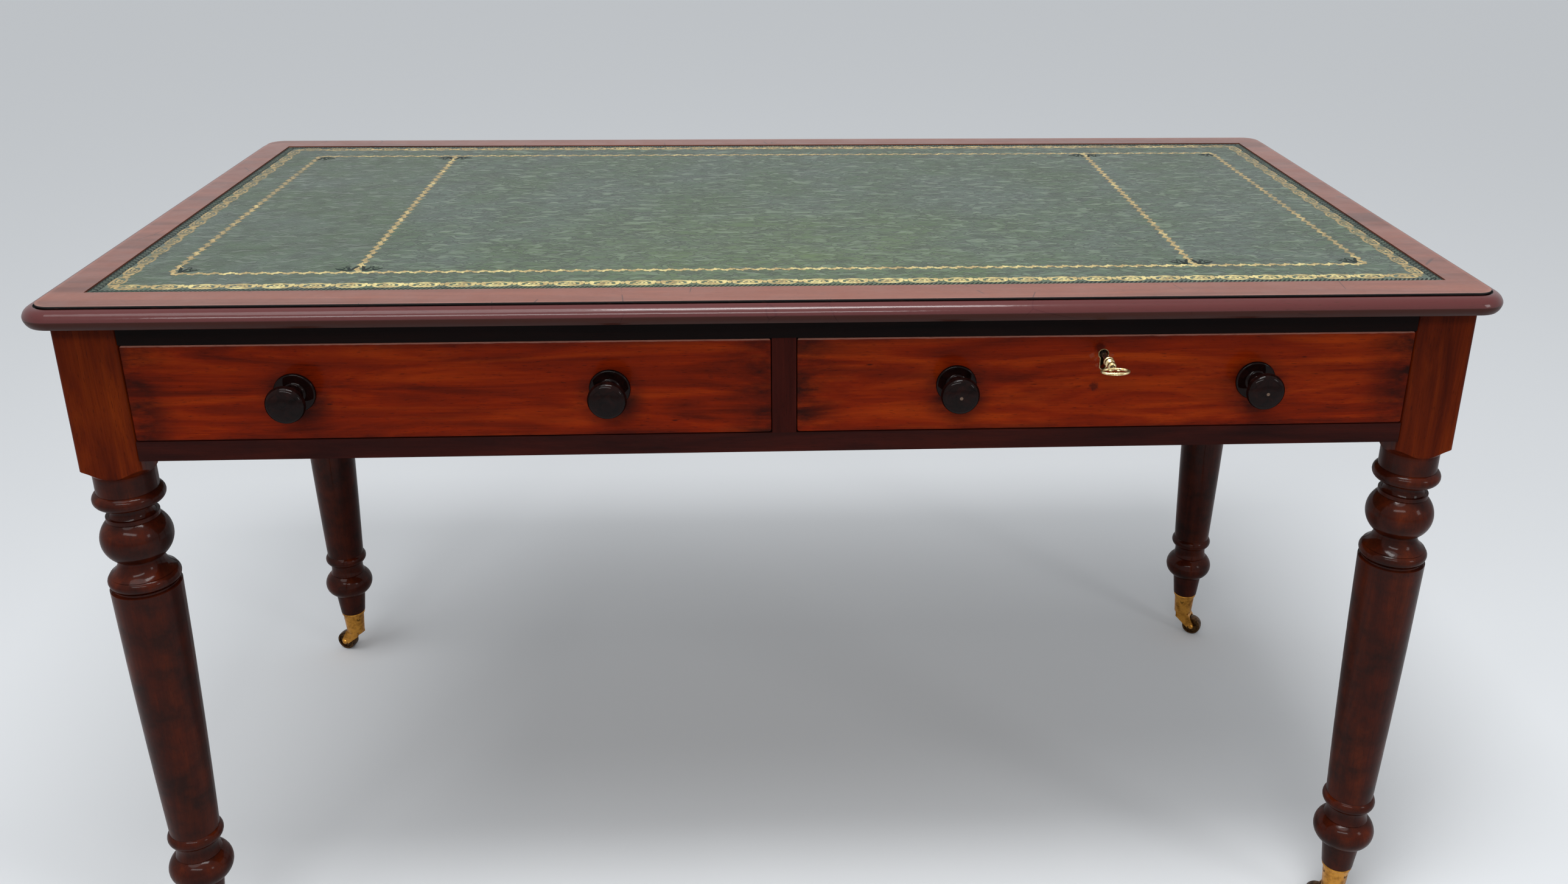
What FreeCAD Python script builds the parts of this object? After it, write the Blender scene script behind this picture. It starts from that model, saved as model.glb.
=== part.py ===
import FreeCAD, Part
import Sketcher
import math
import os
from types import SimpleNamespace

# Library writing table: leather-lined top on four turned legs with castors, and two drawers in the
# front frieze, the right-hand one with a lock. Millimetres, +Z up, X along the front, the drawers
# face -Y, and the origin is on the floor under the middle of the whole outline.

DOCUMENT = FreeCAD.newDocument("writing_table")
SHEET = DOCUMENT.addObject("Spreadsheet::Sheet", "sizes")
PLACES = DOCUMENT.addObject("App::VarSet", "places")

SIZES = [
    # the top
    ("table_height", 775), ("top_width", 1370), ("top_depth", 704), ("top_thick", 19.5),
    ("top_corner", 30), ("nosing_wide", 12), ("nosing_mid", 11), ("nosing_foot", 3.5),
    ("nosing_swell", 2.4), ("nosing_roll", 0.85), ("quirk_wide", 1.6), ("quirk_deep", 4.2),
    ("quirk_lip", 2.2), ("nosing_lap", 3),
    ("leather_side", 32), ("leather_front", 40), ("leather_back", 34), ("leather_thick", 1),
    ("leather_sink", 0.8), ("leather_gap", 0.3),
    # the frame
    ("overhang_side", 19), ("overhang_front", 26), ("overhang_back", 22),
    ("leg_square", 58), ("leg_arris", 5), ("block_drop", 19), ("face_setback", 1),
    ("top_rail_high", 23.5), ("opening_high", 97), ("bottom_rail_high", 20), ("rail_deep", 58),
    ("stile_wide", 23), ("stile_deep", 40), ("stile_tenon", 8), ("stile_tenon_wide", 12),
    ("apron_thick", 22), ("apron_setback", 2),
    ("tenon_long", 24), ("tenon_thick", 9), ("tenon_shoulder", 9), ("rail_tenon_wide", 34),
    ("rail_tenon_inset", 5), ("mortise_gap", 0.1),
    # drawer carriage
    ("runner_wide", 32), ("guide_high", 50), ("guide_centre_high", 25),
    ("centre_runner_wide", 84), ("stop_long", 40), ("stop_deep", 20), ("stop_high", 5),
    ("stop_from_middle", 110), ("block_long", 60), ("block_side", 20),
    ("top_screw_shank", 2.2), ("top_screw_head", 4.2), ("top_screw_long", 33),
    ("top_screw_sink", 3), ("top_screw_inset", 53),
    # drawers
    ("drawer_gap", 0.8), ("running_gap", 0.3), ("stop_gap", 0.3), ("front_thick", 20),
    ("front_corner", 2.5), ("front_arris", 1.2), ("side_thick", 10), ("side_clear_top", 5),
    ("drawer_back_gap", 26), ("lap_thick", 5), ("tail_tip", 23), ("tail_root", 18),
    ("back_tail_tip", 24), ("back_tail_root", 19), ("back_thick", 9), ("back_drop", 6),
    ("bottom_thick", 6), ("bottom_rise", 9), ("groove_deep", 4.5), ("front_groove", 6),
    # knobs
    ("knob_pitch", 291), ("knob_base", 18.8), ("knob_base_thick", 3.4), ("knob_base_lip", 1),
    ("knob_base_curve", 1.1), ("knob_flare", 2), ("knob_flare_curve", 1.4), ("knob_neck", 8.6),
    ("knob_step", 0.4), ("knob_bead", 10.3), ("knob_bead_at", 12), ("knob_bead_thick", 4.4),
    ("knob_back_at", 18.5), ("knob_back_curve", 2.1), ("knob_head", 18.2), ("knob_head_at", 28.5),
    ("knob_head_curve", 1.7), ("knob_face", 13.1), ("knob_face_at", 35.3), ("knob_face_curve", 0.7),
    ("knob_long", 37), ("knob_spigot", 6), ("spigot_cover", 3), ("knob_peg", 1.6),
    # lock and key
    ("keyhole_offset", 5), ("keyhole_drop", 19), ("keyhole_head", 4.5), ("keyhole_slot", 2.6),
    ("keyhole_long", 13), ("escutcheon_wall", 0.8), ("escutcheon_deep", 3),
    ("lock_wide", 62), ("lock_high", 42), ("lock_deep", 11), ("lock_wall", 1.5),
    ("selvedge_wide", 76), ("selvedge_thick", 2), ("bolt_wide", 14), ("bolt_thick", 3.2),
    ("bolt_high", 24), ("bolt_throw", 8), ("bolt_gap", 0.25), ("bolt_seat_gap", 1.2),
    ("lock_screw_shank", 1.1), ("lock_screw_head", 2.4), ("lock_screw_sink", 1.2),
    ("lock_screw_long", 6), ("lock_screw_inset", 3.4),
    ("key_shank", 2.5), ("key_reach", 53), ("key_bit_high", 8), ("key_bit_wide", 3.4),
    ("key_bit_thick", 2), ("key_tip_gap", 0.5), ("key_ring", 4.2), ("key_ring_swell", 0.9),
    ("key_ring_at", 19), ("key_ring_long", 2.3), ("key_band", 3.8), ("key_band_swell", 1.2),
    ("key_step", 0.4), ("key_band_long", 4.3), ("key_cone_long", 1.2), ("key_neck", 2.6),
    ("key_ball_long", 5.8), ("key_ball_swell", 1.8), ("key_ball_at", 32), ("key_foot", 1.6),
    ("bow_half_wide", 12.8), ("bow_half_deep", 6.6), ("bow_wire", 1.25),
    # turned legs, from the block down
    ("shoulder_long", 21), ("shoulder_radius", 28.5), ("shoulder_cut", 10),
    ("shoulder_curve", 1.25), ("cut_over", 0.5),
    ("ring_high", 15), ("ring_radius", 33.2), ("ring_edge", 27),
    ("neck_high", 12), ("neck_radius", 21.5), ("neck_hollow", 2),
    ("fillet_high", 4), ("fillet_radius", 24.5),
    ("ball_high", 43), ("ball_radius", 33.4), ("ball_edge", 23),
    ("bell_high", 17), ("bell_top", 21), ("bell_foot", 31), ("bell_hollow", 2.6),
    ("torus_high", 13), ("torus_radius", 33.8), ("torus_edge", 29.5),
    ("groove_high", 3), ("groove_radius", 31),
    ("shaft_top", 33.4), ("shaft_foot", 25), ("shaft_swell", 0.9),
    ("collar_high", 14), ("collar_radius", 28.2), ("collar_edge", 24.5),
    ("ankle_high", 17), ("ankle_radius", 23.5), ("ankle_hollow", 1.6),
    ("foot_high", 35), ("foot_radius", 32.8), ("foot_edge", 21.5),
    ("toe_high", 34), ("toe_top", 20.5), ("toe_foot", 17), ("toe_chamfer", 1.2),
    # castors
    ("wheel_radius", 14), ("wheel_wide", 13), ("wheel_crown", 0.8), ("wheel_recess", 1.6),
    ("wheel_hub", 5.6), ("wheel_rim", 2.6), ("trail", 16), ("axle_radius", 2.5),
    ("axle_gap", 0.06), ("axle_head", 3.9), ("axle_head_long", 1.4), ("cheek_thick", 2.6),
    ("cheek_gap", 0.5), ("cheek_boss", 5.4), ("cheek_swell", 4.05), ("cheek_front", 8.4),
    ("cheek_front_long", 2.4), ("crown_radius", 10.5), ("crown_thick", 4.8),
    ("wheel_clear", 1.4), ("cup_gap", 0.3), ("cup_high", 32.5), ("cup_top", 15), ("cup_foot", 12.6),
    ("cup_wall", 1.8), ("socket_gap", 0.05), ("cup_floor", 3.6), ("cup_rim", 1), ("cup_rim_high", 3.4),
    ("pin_chamber", 8), ("pin_radius", 4), ("pin_gap", 0.06), ("pin_lift", 0.2), ("pin_head", 6.6),
    ("pin_head_thick", 2.4), ("screw_shank", 1.3), ("screw_head", 2.7), ("screw_sink", 1.5),
    ("screw_long", 8), ("screw_up", 22),
    ("castor_turn_front_left", 205), ("castor_turn_front_right", 150),
    ("castor_turn_back_left", 160), ("castor_turn_back_right", 330),
]
SCREWS_PER_CUP = 3
FIRST_SCREW_TURN = 30
TAILS_FRONT = 3
TAILS_BACK = 2


# A measure is a number together with the expression that gives it from the sheet, so that plain
# arithmetic on measures works out a place and the text that binds it.
class Measure:
    def __init__(self, value, text):
        self.value = value
        self.text = text

    def __add__(self, other):
        return combined(self, "+", other)

    def __radd__(self, other):
        return combined(other, "+", self)

    def __sub__(self, other):
        return combined(self, "-", other)

    def __rsub__(self, other):
        return combined(other, "-", self)

    def __mul__(self, other):
        return combined(self, "*", other)

    def __rmul__(self, other):
        return combined(other, "*", self)

    def __truediv__(self, other):
        return combined(self, "/", other)

    def __neg__(self):
        return combined(0, "-", self)


def measured(item):
    if isinstance(item, Measure):
        return item
    return Measure(float(item), repr(float(item)))


def combined(left, sign, right):
    left = measured(left)
    right = measured(right)
    value = {
        "+": lambda: left.value + right.value,
        "-": lambda: left.value - right.value,
        "*": lambda: left.value * right.value,
        "/": lambda: left.value / right.value,
    }[sign]()
    return Measure(value, "({} {} {})".format(left.text, sign, right.text))


def fill_sheet():
    values = SimpleNamespace()
    for row, (alias, number) in enumerate(SIZES, start=1):
        SHEET.set("A{}".format(row), alias.replace("_", " "))
        SHEET.set("B{}".format(row), str(number))
        SHEET.setAlias("B{}".format(row), alias)
        setattr(values, alias, Measure(float(number), "sizes." + alias))
    DOCUMENT.recompute()
    return values


# A worked-out place gets a name of its own, which later expressions use.
def placed(name, amount):
    PLACES.addProperty("App::PropertyFloat", name)
    PLACES.setExpression(name, amount.text)
    return Measure(amount.value, "places." + name)


def bind(thing, prop, amount):
    amount = measured(amount)
    thing.setExpression(prop, amount.text)


NODES = {}


def node(name, thing):
    thing.Label = name
    NODES[name] = thing
    return thing


# --- primitives bound to the sheet ---------------------------------------------------------------

def box(name, low, high):
    block = DOCUMENT.addObject("Part::Box", name)
    for prop, axis, near, far in zip(("Length", "Width", "Height"), "xyz", low, high):
        bind(block, prop, far - near)
        bind(block, "Placement.Base." + axis, near)
    return block


# A round bar whose axis runs along -Y, the way the drawers face.
def bar_forward(name, radius, centre, length):
    bar = DOCUMENT.addObject("Part::Cylinder", name)
    bind(bar, "Radius", radius)
    bind(bar, "Height", length)
    bar.Placement = FreeCAD.Placement(
        FreeCAD.Vector(0, 0, 0), FreeCAD.Rotation(FreeCAD.Vector(1, 0, 0), 90))
    for axis, amount in zip("xyz", centre):
        bind(bar, "Placement.Base." + axis, amount)
    return bar


def fuse(name, pieces):
    if len(pieces) == 1:
        return pieces[0]
    joined = DOCUMENT.addObject("Part::MultiFuse", name)
    joined.Shapes = pieces
    joined.Refine = True
    return joined


def cut(name, base, tool):
    left = DOCUMENT.addObject("Part::Cut", name)
    left.Base = base
    left.Tool = tool
    return left


def group(name, pieces):
    together = DOCUMENT.addObject("Part::Compound", name)
    together.Links = pieces
    return together


# --- sketches ------------------------------------------------------------------------------------

def body(name):
    return DOCUMENT.addObject("PartDesign::Body", name)


def sketch(owner, role, name, offset=None):
    drawing = owner.newObject("Sketcher::SketchObject", name)
    plane = next(f for f in owner.Origin.OriginFeatures if f.Role == role)
    drawing.AttachmentSupport = [(plane, "")]
    drawing.MapMode = "FlatFace"
    if offset is not None:
        bind(drawing, "AttachmentOffset.Base.z", offset)
    return drawing


# Radius of an arc from its chord and its rise over that chord.
def arc_radius(start, end, rise):
    run = end[0] - start[0]
    climb = end[1] - start[1]
    return (run * run + climb * climb) / (8 * rise) + rise / 2


def arc_edge(start, end, rise, radius, leftwards):
    a = FreeCAD.Vector(start[0].value, start[1].value, 0)
    b = FreeCAD.Vector(end[0].value, end[1].value, 0)
    along = (b - a).normalize()
    left = FreeCAD.Vector(-along.y, along.x, 0)
    side = 1 if leftwards else -1
    middle = (a + b) * 0.5 + left * (side * rise.value)
    centre = middle - left * (side * radius.value)
    circle = Part.Circle(centre, FreeCAD.Vector(0, 0, 1), radius.value)
    first, last = (b, a) if leftwards else (a, b)
    angles = [math.atan2(p.y - centre.y, p.x - centre.x) for p in (first, last)]
    return Part.ArcOfCircle(circle, angles[0], angles[1])


# Draws a closed outline. Each corner is (x, y), or (x, y, rise) where the edge to the next corner
# is an arc: a positive rise swells to the left of the way round, a negative one to the right.
def outline(drawing, corners):
    points = [(measured(c[0]), measured(c[1])) for c in corners]
    count = len(points)
    ends = []
    for index, corner in enumerate(corners):
        start = points[index]
        end = points[(index + 1) % count]
        if len(corner) == 2:
            line = Part.LineSegment(
                FreeCAD.Vector(start[0].value, start[1].value, 0),
                FreeCAD.Vector(end[0].value, end[1].value, 0))
            edge = drawing.addGeometry(line, False)
            ends.append((edge, 1, 2))
            continue
        leftwards = measured(corner[2]).value > 0
        rise = corner[2] if leftwards else -corner[2]
        rise = measured(rise)
        radius = arc_radius(start, end, rise)
        edge = drawing.addGeometry(arc_edge(start, end, rise, radius, leftwards), False)
        ends.append((edge, 2, 1) if leftwards else (edge, 1, 2))
        limit = drawing.addConstraint(Sketcher.Constraint("Radius", edge, radius.value))
        drawing.setExpression("Constraints[{}]".format(limit), radius.text)
    for index in range(count):
        edge, first, last = ends[index]
        following = ends[(index + 1) % count]
        drawing.addConstraint(Sketcher.Constraint("Coincident", edge, last, following[0], following[1]))
        for kind, amount in zip(("DistanceX", "DistanceY"), points[index]):
            limit = drawing.addConstraint(
                Sketcher.Constraint(kind, -1, 1, edge, first, amount.value))
            drawing.setExpression("Constraints[{}]".format(limit), amount.text)


def rounded_rectangle(left, right, low, high, radius):
    rise = radius * (1 - math.sqrt(0.5))
    return [
        (left + radius, low), (right - radius, low, -rise),
        (right, low + radius), (right, high - radius, -rise),
        (right - radius, high), (left + radius, high, -rise),
        (left, high - radius), (left, low + radius, -rise),
    ]


def rectangle(left, right, low, high):
    return [(left, low), (right, low), (right, high), (left, high)]


def pad(owner, drawing, length, name, both_ways=False):
    solid = owner.newObject("PartDesign::Pad", name)
    solid.Profile = drawing
    solid.Midplane = both_ways
    bind(solid, "Length", length)
    return solid


def revolve(owner, drawing, name):
    solid = owner.newObject("PartDesign::Revolution", name)
    solid.Profile = drawing
    solid.ReferenceAxis = (drawing, ["V_Axis"])
    solid.Angle = 360
    return solid


def groove(owner, drawing, name):
    solid = owner.newObject("PartDesign::Groove", name)
    solid.Profile = drawing
    solid.ReferenceAxis = (drawing, ["V_Axis"])
    solid.Angle = 360
    return solid


def stand(thing, x, y, z):
    for axis, amount in zip("xyz", (x, y, z)):
        bind(thing, "Placement.Base." + axis, amount)


# --- the shared places ---------------------------------------------------------------------------

S = fill_sheet()

proud = placed("key_proud", S.key_reach - S.face_setback - S.overhang_front)
top_front = placed("top_front", proud - (S.top_depth + proud) / 2)
top_back = placed("top_back", (S.top_depth + proud) / 2)
top_right = placed("top_right", S.top_width / 2)
under_top = placed("under_top", S.table_height - S.top_thick)

legs_out = placed("legs_out", top_right - S.overhang_side)
legs_in = placed("legs_in", legs_out - S.leg_square)
legs_front = placed("legs_front", top_front + S.overhang_front)
legs_back = placed("legs_back", top_back - S.overhang_back)
front_inner = placed("front_inner", legs_front + S.leg_square)
back_inner = placed("back_inner", legs_back - S.leg_square)

opening_top = placed("opening_top", under_top - S.top_rail_high)
opening_low = placed("opening_low", opening_top - S.opening_high)
frieze_low = placed("frieze_low", opening_low - S.bottom_rail_high)
block_low = placed("block_low", frieze_low - S.block_drop)

face = placed("face", legs_front + S.face_setback)
rail_back = placed("rail_back", face + S.rail_deep)
stile_right = placed("stile_right", S.stile_wide / 2)
apron_out = placed("apron_out", legs_out - S.apron_setback)
apron_in = placed("apron_in", apron_out - S.apron_thick)
back_apron_out = placed("back_apron_out", legs_back - S.apron_setback)
back_apron_in = placed("back_apron_in", back_apron_out - S.apron_thick)

leather_right = placed("leather_right", top_right - S.nosing_wide - S.leather_side)
leather_left = placed("leather_left", -leather_right)
leather_near = placed("leather_near", top_front + S.nosing_wide + S.leather_front)
leather_far = placed("leather_far", top_back - S.nosing_wide - S.leather_back)


# --- the top -------------------------------------------------------------------------------------

# Solid board: a flat field with a thumb-moulded nosing carried round it below a fine quirk, and a
# shallow recess for the leather.
def make_top():
    board = body("top_board_body")
    field = sketch(board, "XY_Plane", "field_outline", under_top)
    outline(field, rounded_rectangle(
        S.nosing_wide - top_right, top_right - S.nosing_wide,
        top_front + S.nosing_wide, top_back - S.nosing_wide, S.top_corner - S.nosing_wide))
    profile = sketch(board, "XZ_Plane", "nosing_profile")
    edge = top_right - S.nosing_wide
    outline(profile, [
        (edge - S.nosing_lap, under_top),
        (edge + S.nosing_wide - S.nosing_foot, under_top, -S.nosing_roll),
        (edge + S.nosing_wide, S.table_height - S.nosing_mid, -S.nosing_swell),
        (edge + S.quirk_wide, S.table_height - S.quirk_lip),
        (edge + S.quirk_wide, S.table_height - S.quirk_deep),
        (edge - S.nosing_lap, S.table_height - S.quirk_deep),
    ])
    recess = sketch(board, "XY_Plane", "leather_recess", S.table_height)
    outline(recess, rectangle(leather_left, leather_right, leather_near, leather_far))
    DOCUMENT.recompute()
    pad(board, field, S.top_thick, "field")
    pipe = board.newObject("PartDesign::AdditivePipe", "nosing")
    pipe.Profile = profile
    pipe.Spine = field
    pocket = board.newObject("PartDesign::Pocket", "leather_bed")
    pocket.Profile = recess
    bind(pocket, "Length", S.leather_thick + S.leather_sink)
    return board


# Each screw is a straight shank under a flat countersunk head.
def screw_profile(shank, head, sink, length):
    half = Part.Face(Part.makePolygon([
        FreeCAD.Vector(0, 0, 0), FreeCAD.Vector(head, 0, 0), FreeCAD.Vector(shank, 0, sink),
        FreeCAD.Vector(shank, 0, length), FreeCAD.Vector(0, 0, length), FreeCAD.Vector(0, 0, 0)]))
    return half.revolve(FreeCAD.Vector(0, 0, 0), FreeCAD.Vector(0, 0, 1), 360)


# Screws set by their heads, each given as (point, direction of the tip).
def screws(name, single, seats):
    shapes = []
    for point, direction in seats:
        turned = single.copy()
        turned.Placement = FreeCAD.Placement(
            point, FreeCAD.Rotation(FreeCAD.Vector(0, 0, 1), direction))
        shapes.append(turned)
    pieces = DOCUMENT.addObject("Part::Feature", name)
    pieces.Shape = Part.makeCompound(shapes)
    return pieces


up = FreeCAD.Vector(0, 0, 1)
rail_middle = face + S.rail_deep / 2
inner_middle = (rail_back + back_apron_in) / 2
kicker_middle = legs_in - S.runner_wide / 2
rail_screw_reach = legs_in - S.top_screw_inset
kicker_quarter = (back_apron_in - rail_back) / 4
top_screw_seats = [
    (FreeCAD.Vector(rail_screw_reach.value * third / 3, rail_middle.value, opening_top.value), up)
    for third in (-3, -1, 1, 3)]
top_screw_seats += [
    (FreeCAD.Vector(
        kicker_middle.value * side, inner_middle.value + kicker_quarter.value * place,
        opening_top.value), up)
    for side in (-1, 0, 1) for place in (-1, 1)]
top_screws = node("top_screws", screws(
    "top_screws", screw_profile(
        S.top_screw_shank.value, S.top_screw_head.value, S.top_screw_sink.value,
        S.top_screw_long.value), top_screw_seats))

node("top_board", cut("top_board", make_top(), top_screws))
leather_top = S.table_height - S.leather_sink
node("leather_skiver", box(
    "leather_skiver",
    (leather_left + S.leather_gap, leather_near + S.leather_gap, leather_top - S.leather_thick),
    (leather_right - S.leather_gap, leather_far - S.leather_gap, leather_top)))


# --- the frame -----------------------------------------------------------------------------------

# A tenon's box, or with a gap the mortise that takes it.
def tenon_box(name, low, high, gap=None):
    if gap is None:
        return box(name, low, high)
    return box(name, [edge - gap for edge in low], [edge + gap for edge in high])


# The ends of a rail that runs along X, as the tenon box right through it.
def across(near, far, low, high):
    reach = legs_in + S.tenon_long
    return (-reach, near, low), (reach, far, high)


# The same for a side apron, which runs along Y.
def along(left, right, low, high):
    return (left, front_inner - S.tenon_long, low), (right, back_inner + S.tenon_long, high)


top_rail_tenon = across(
    face + S.rail_tenon_inset, face + S.rail_tenon_inset + S.rail_tenon_wide,
    opening_top + S.rail_tenon_inset, under_top - S.rail_tenon_inset)
bottom_rail_tenon = across(
    face + S.rail_tenon_inset, face + S.rail_tenon_inset + S.rail_tenon_wide,
    frieze_low + S.rail_tenon_inset, opening_low - S.rail_tenon_inset)
back_tenon_near = back_apron_in + (S.apron_thick - S.tenon_thick) / 2
back_tenon = across(
    back_tenon_near, back_tenon_near + S.tenon_thick,
    frieze_low + S.tenon_shoulder, under_top - S.tenon_shoulder)
side_tenon_in = apron_in + (S.apron_thick - S.tenon_thick) / 2
side_tenon = {
    1: along(side_tenon_in, side_tenon_in + S.tenon_thick,
             frieze_low + S.tenon_shoulder, under_top - S.tenon_shoulder),
    -1: along(-(side_tenon_in + S.tenon_thick), -side_tenon_in,
              frieze_low + S.tenon_shoulder, under_top - S.tenon_shoulder),
}

stile_tenon_left = -(S.stile_tenon_wide / 2)
stile_tenon_near = face + (S.stile_deep - S.stile_tenon_wide) / 2
stile_tenon = (
    (stile_tenon_left, stile_tenon_near, opening_low - S.stile_tenon),
    (-stile_tenon_left, stile_tenon_near + S.stile_tenon_wide, opening_top + S.stile_tenon))
stile_mortise = tenon_box("stile_mortise", *stile_tenon, gap=S.mortise_gap)

node("centre_stile", fuse("centre_stile", [
    box("stile_body", (-stile_right, face, opening_low),
        (stile_right, face + S.stile_deep, opening_top)),
    tenon_box("stile_tenons", *stile_tenon)]))


def make_rail(name, low, high, tenon, tools):
    bar = fuse(name + "_bar", [
        box(name + "_body", (-legs_in, face, low), (legs_in, rail_back, high)),
        tenon_box(name + "_tenons", *tenon)])
    return node(name, cut(name, bar, fuse(name + "_cuts", tools)))


# The right-hand drawer's lock sits a little to the left of the drawer's middle.
drawer_middle = placed("drawer_middle", (legs_in + stile_right) / 2)
lock_middle = placed("lock_middle", drawer_middle - S.keyhole_offset)
front_top = placed("front_top", opening_top - S.drawer_gap)
front_low = placed("front_low", opening_low + S.drawer_gap)
front_back = placed("front_back", face + S.front_thick)
bolt_far = placed("bolt_far", front_back - S.lock_wall)
bolt_near = placed("bolt_near", bolt_far - S.bolt_thick)
bolt_mortise = box(
    "bolt_mortise",
    (lock_middle - S.bolt_wide / 2 - S.bolt_seat_gap, bolt_near - S.bolt_seat_gap, opening_top),
    (lock_middle + S.bolt_wide / 2 + S.bolt_seat_gap, bolt_far + S.bolt_seat_gap,
     front_top + S.bolt_throw + S.bolt_seat_gap))

make_rail("front_top_rail", opening_top, under_top, top_rail_tenon,
          [stile_mortise, bolt_mortise, top_screws])
make_rail("front_bottom_rail", frieze_low, opening_low, bottom_rail_tenon, [stile_mortise])

node("back_apron", fuse("back_apron", [
    box("back_apron_body", (-legs_in, back_apron_in, frieze_low),
        (legs_in, back_apron_out, under_top)),
    tenon_box("back_apron_tenons", *back_tenon)]))
for side, name in ((-1, "side_apron_left"), (1, "side_apron_right")):
    inner, outer = (apron_in, apron_out) if side > 0 else (-apron_out, -apron_in)
    node(name, fuse(name, [
        box(name + "_body", (inner, front_inner, frieze_low), (outer, back_inner, under_top)),
        tenon_box(name + "_tenons", *side_tenon[side])]))


# --- castors -------------------------------------------------------------------------------------

crown_low = placed("crown_low", S.wheel_radius * 2 + S.wheel_clear)
crown_top = placed("crown_top", crown_low + S.crown_thick)
cup_low = placed("cup_low", crown_top + S.cup_gap)
cup_high = placed("cup_brim", cup_low + S.cup_high)
wheel_half = placed("wheel_half", S.wheel_wide / 2)
fork_half = placed("fork_half", wheel_half + S.cheek_gap + S.cheek_thick)
spigot_low = placed("spigot_low", cup_low + S.cup_floor + S.pin_chamber)
slope = placed("cup_slope", (S.cup_top - S.cup_foot) / S.cup_high)


# Outside radius of the cup at a height over the floor.
def cup_radius(height):
    return S.cup_foot + (height - cup_low) * slope


# Round tapered socket with a thicker rim and a pierced floor for the swivel pin.
def make_cup(name):
    cup = body(name + "_body")
    drawing = sketch(cup, "XZ_Plane", name + "_profile")
    rim_low = cup_high - S.cup_rim_high
    floor_top = cup_low + S.cup_floor
    outline(drawing, [
        (S.pin_radius + S.pin_gap, cup_low),
        (S.cup_foot, cup_low),
        (cup_radius(rim_low), rim_low),
        (cup_radius(rim_low) + S.cup_rim, rim_low, -(S.cup_rim / 2)),
        (S.cup_top + S.cup_rim, cup_high),
        (S.cup_top - S.cup_wall, cup_high),
        (cup_radius(floor_top) - S.cup_wall, floor_top),
        (S.pin_radius + S.pin_gap, floor_top),
    ])
    DOCUMENT.recompute()
    revolve(cup, drawing, name + "_turning")
    return cup


# Cast yoke: a round crown on its swivel pin, and two cheeks that carry the axle behind the pin.
def make_yoke(name):
    cheeks = body(name + "_cheeks")
    side = sketch(cheeks, "XZ_Plane", name + "_side")
    outline(side, [
        (-S.cheek_front, crown_top - S.cup_gap),
        (-S.cheek_front, crown_low - S.cheek_front_long),
        (S.trail - S.cheek_boss, S.wheel_radius - S.cheek_boss / 2, S.cheek_swell),
        (S.trail + S.cheek_boss, S.wheel_radius),
        (S.crown_radius, crown_top - S.cup_gap),
    ])
    DOCUMENT.recompute()
    pad(cheeks, side, fork_half * 2, name + "_plates", both_ways=True)
    slot = box(
        name + "_slot",
        (-(S.crown_radius + S.wheel_radius), -(wheel_half + S.cheek_gap), measured(0)),
        (S.trail + S.wheel_radius * 2, wheel_half + S.cheek_gap, crown_low))
    hole = DOCUMENT.addObject("Part::Cylinder", name + "_axle_hole")
    bind(hole, "Radius", S.axle_radius)
    bind(hole, "Height", fork_half * 2)
    hole.Placement = FreeCAD.Placement(
        FreeCAD.Vector(0, 0, 0), FreeCAD.Rotation(FreeCAD.Vector(1, 0, 0), 90))
    stand(hole, S.trail, fork_half, S.wheel_radius)
    trimmed = cut(name + "_fork", cheeks, fuse(name + "_cuts", [slot, hole]))
    turned = body(name + "_crown")
    profile = sketch(turned, "XZ_Plane", name + "_crown_profile")
    neck_top = cup_low + S.cup_floor + S.pin_lift
    outline(profile, [
        (0, crown_low), (S.crown_radius, crown_low), (S.crown_radius, crown_top),
        (S.pin_radius, crown_top), (S.pin_radius, neck_top), (S.pin_head, neck_top),
        (S.pin_head, neck_top + S.pin_head_thick / 2), (S.pin_radius, neck_top + S.pin_head_thick),
        (0, neck_top + S.pin_head_thick)])
    DOCUMENT.recompute()
    revolve(turned, profile, name + "_pin")
    yoke = fuse(name + "_casting", [trimmed, turned])
    axle = body(name + "_axle")
    rod = sketch(axle, "XZ_Plane", name + "_axle_profile")
    outline(rod, [
        (0, -(fork_half + S.axle_head_long)), (S.axle_radius, -(fork_half + S.axle_head_long)),
        (S.axle_head, -fork_half), (S.axle_radius, -fork_half), (S.axle_radius, fork_half),
        (S.axle_head, fork_half), (S.axle_radius, fork_half + S.axle_head_long),
        (0, fork_half + S.axle_head_long)])
    DOCUMENT.recompute()
    revolve(axle, rod, name + "_axle_turning")
    axle.Placement = FreeCAD.Placement(
        FreeCAD.Vector(0, 0, 0), FreeCAD.Rotation(FreeCAD.Vector(1, 0, 0), 90))
    stand(axle, S.trail, measured(0), S.wheel_radius)
    return group(name, [yoke, axle])


# Turned wheel with a slightly crowned tread and a dished face each side.
def make_wheel(name):
    wheel = body(name + "_body")
    drawing = sketch(wheel, "XZ_Plane", name + "_profile")
    bore = S.axle_radius + S.axle_gap
    tread = S.wheel_radius - S.wheel_crown
    rim = S.wheel_radius - S.wheel_rim - S.wheel_crown
    face_in = wheel_half - S.wheel_recess
    outline(drawing, [
        (bore, -wheel_half), (S.wheel_hub, -wheel_half), (S.wheel_hub, -face_in), (rim, -face_in),
        (rim, -wheel_half), (tread, -wheel_half, -S.wheel_crown), (tread, wheel_half),
        (rim, wheel_half), (rim, face_in), (S.wheel_hub, face_in), (S.wheel_hub, wheel_half),
        (bore, wheel_half)])
    DOCUMENT.recompute()
    revolve(wheel, drawing, name + "_turning")
    return wheel


# --- legs ----------------------------------------------------------------------------------------

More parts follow.
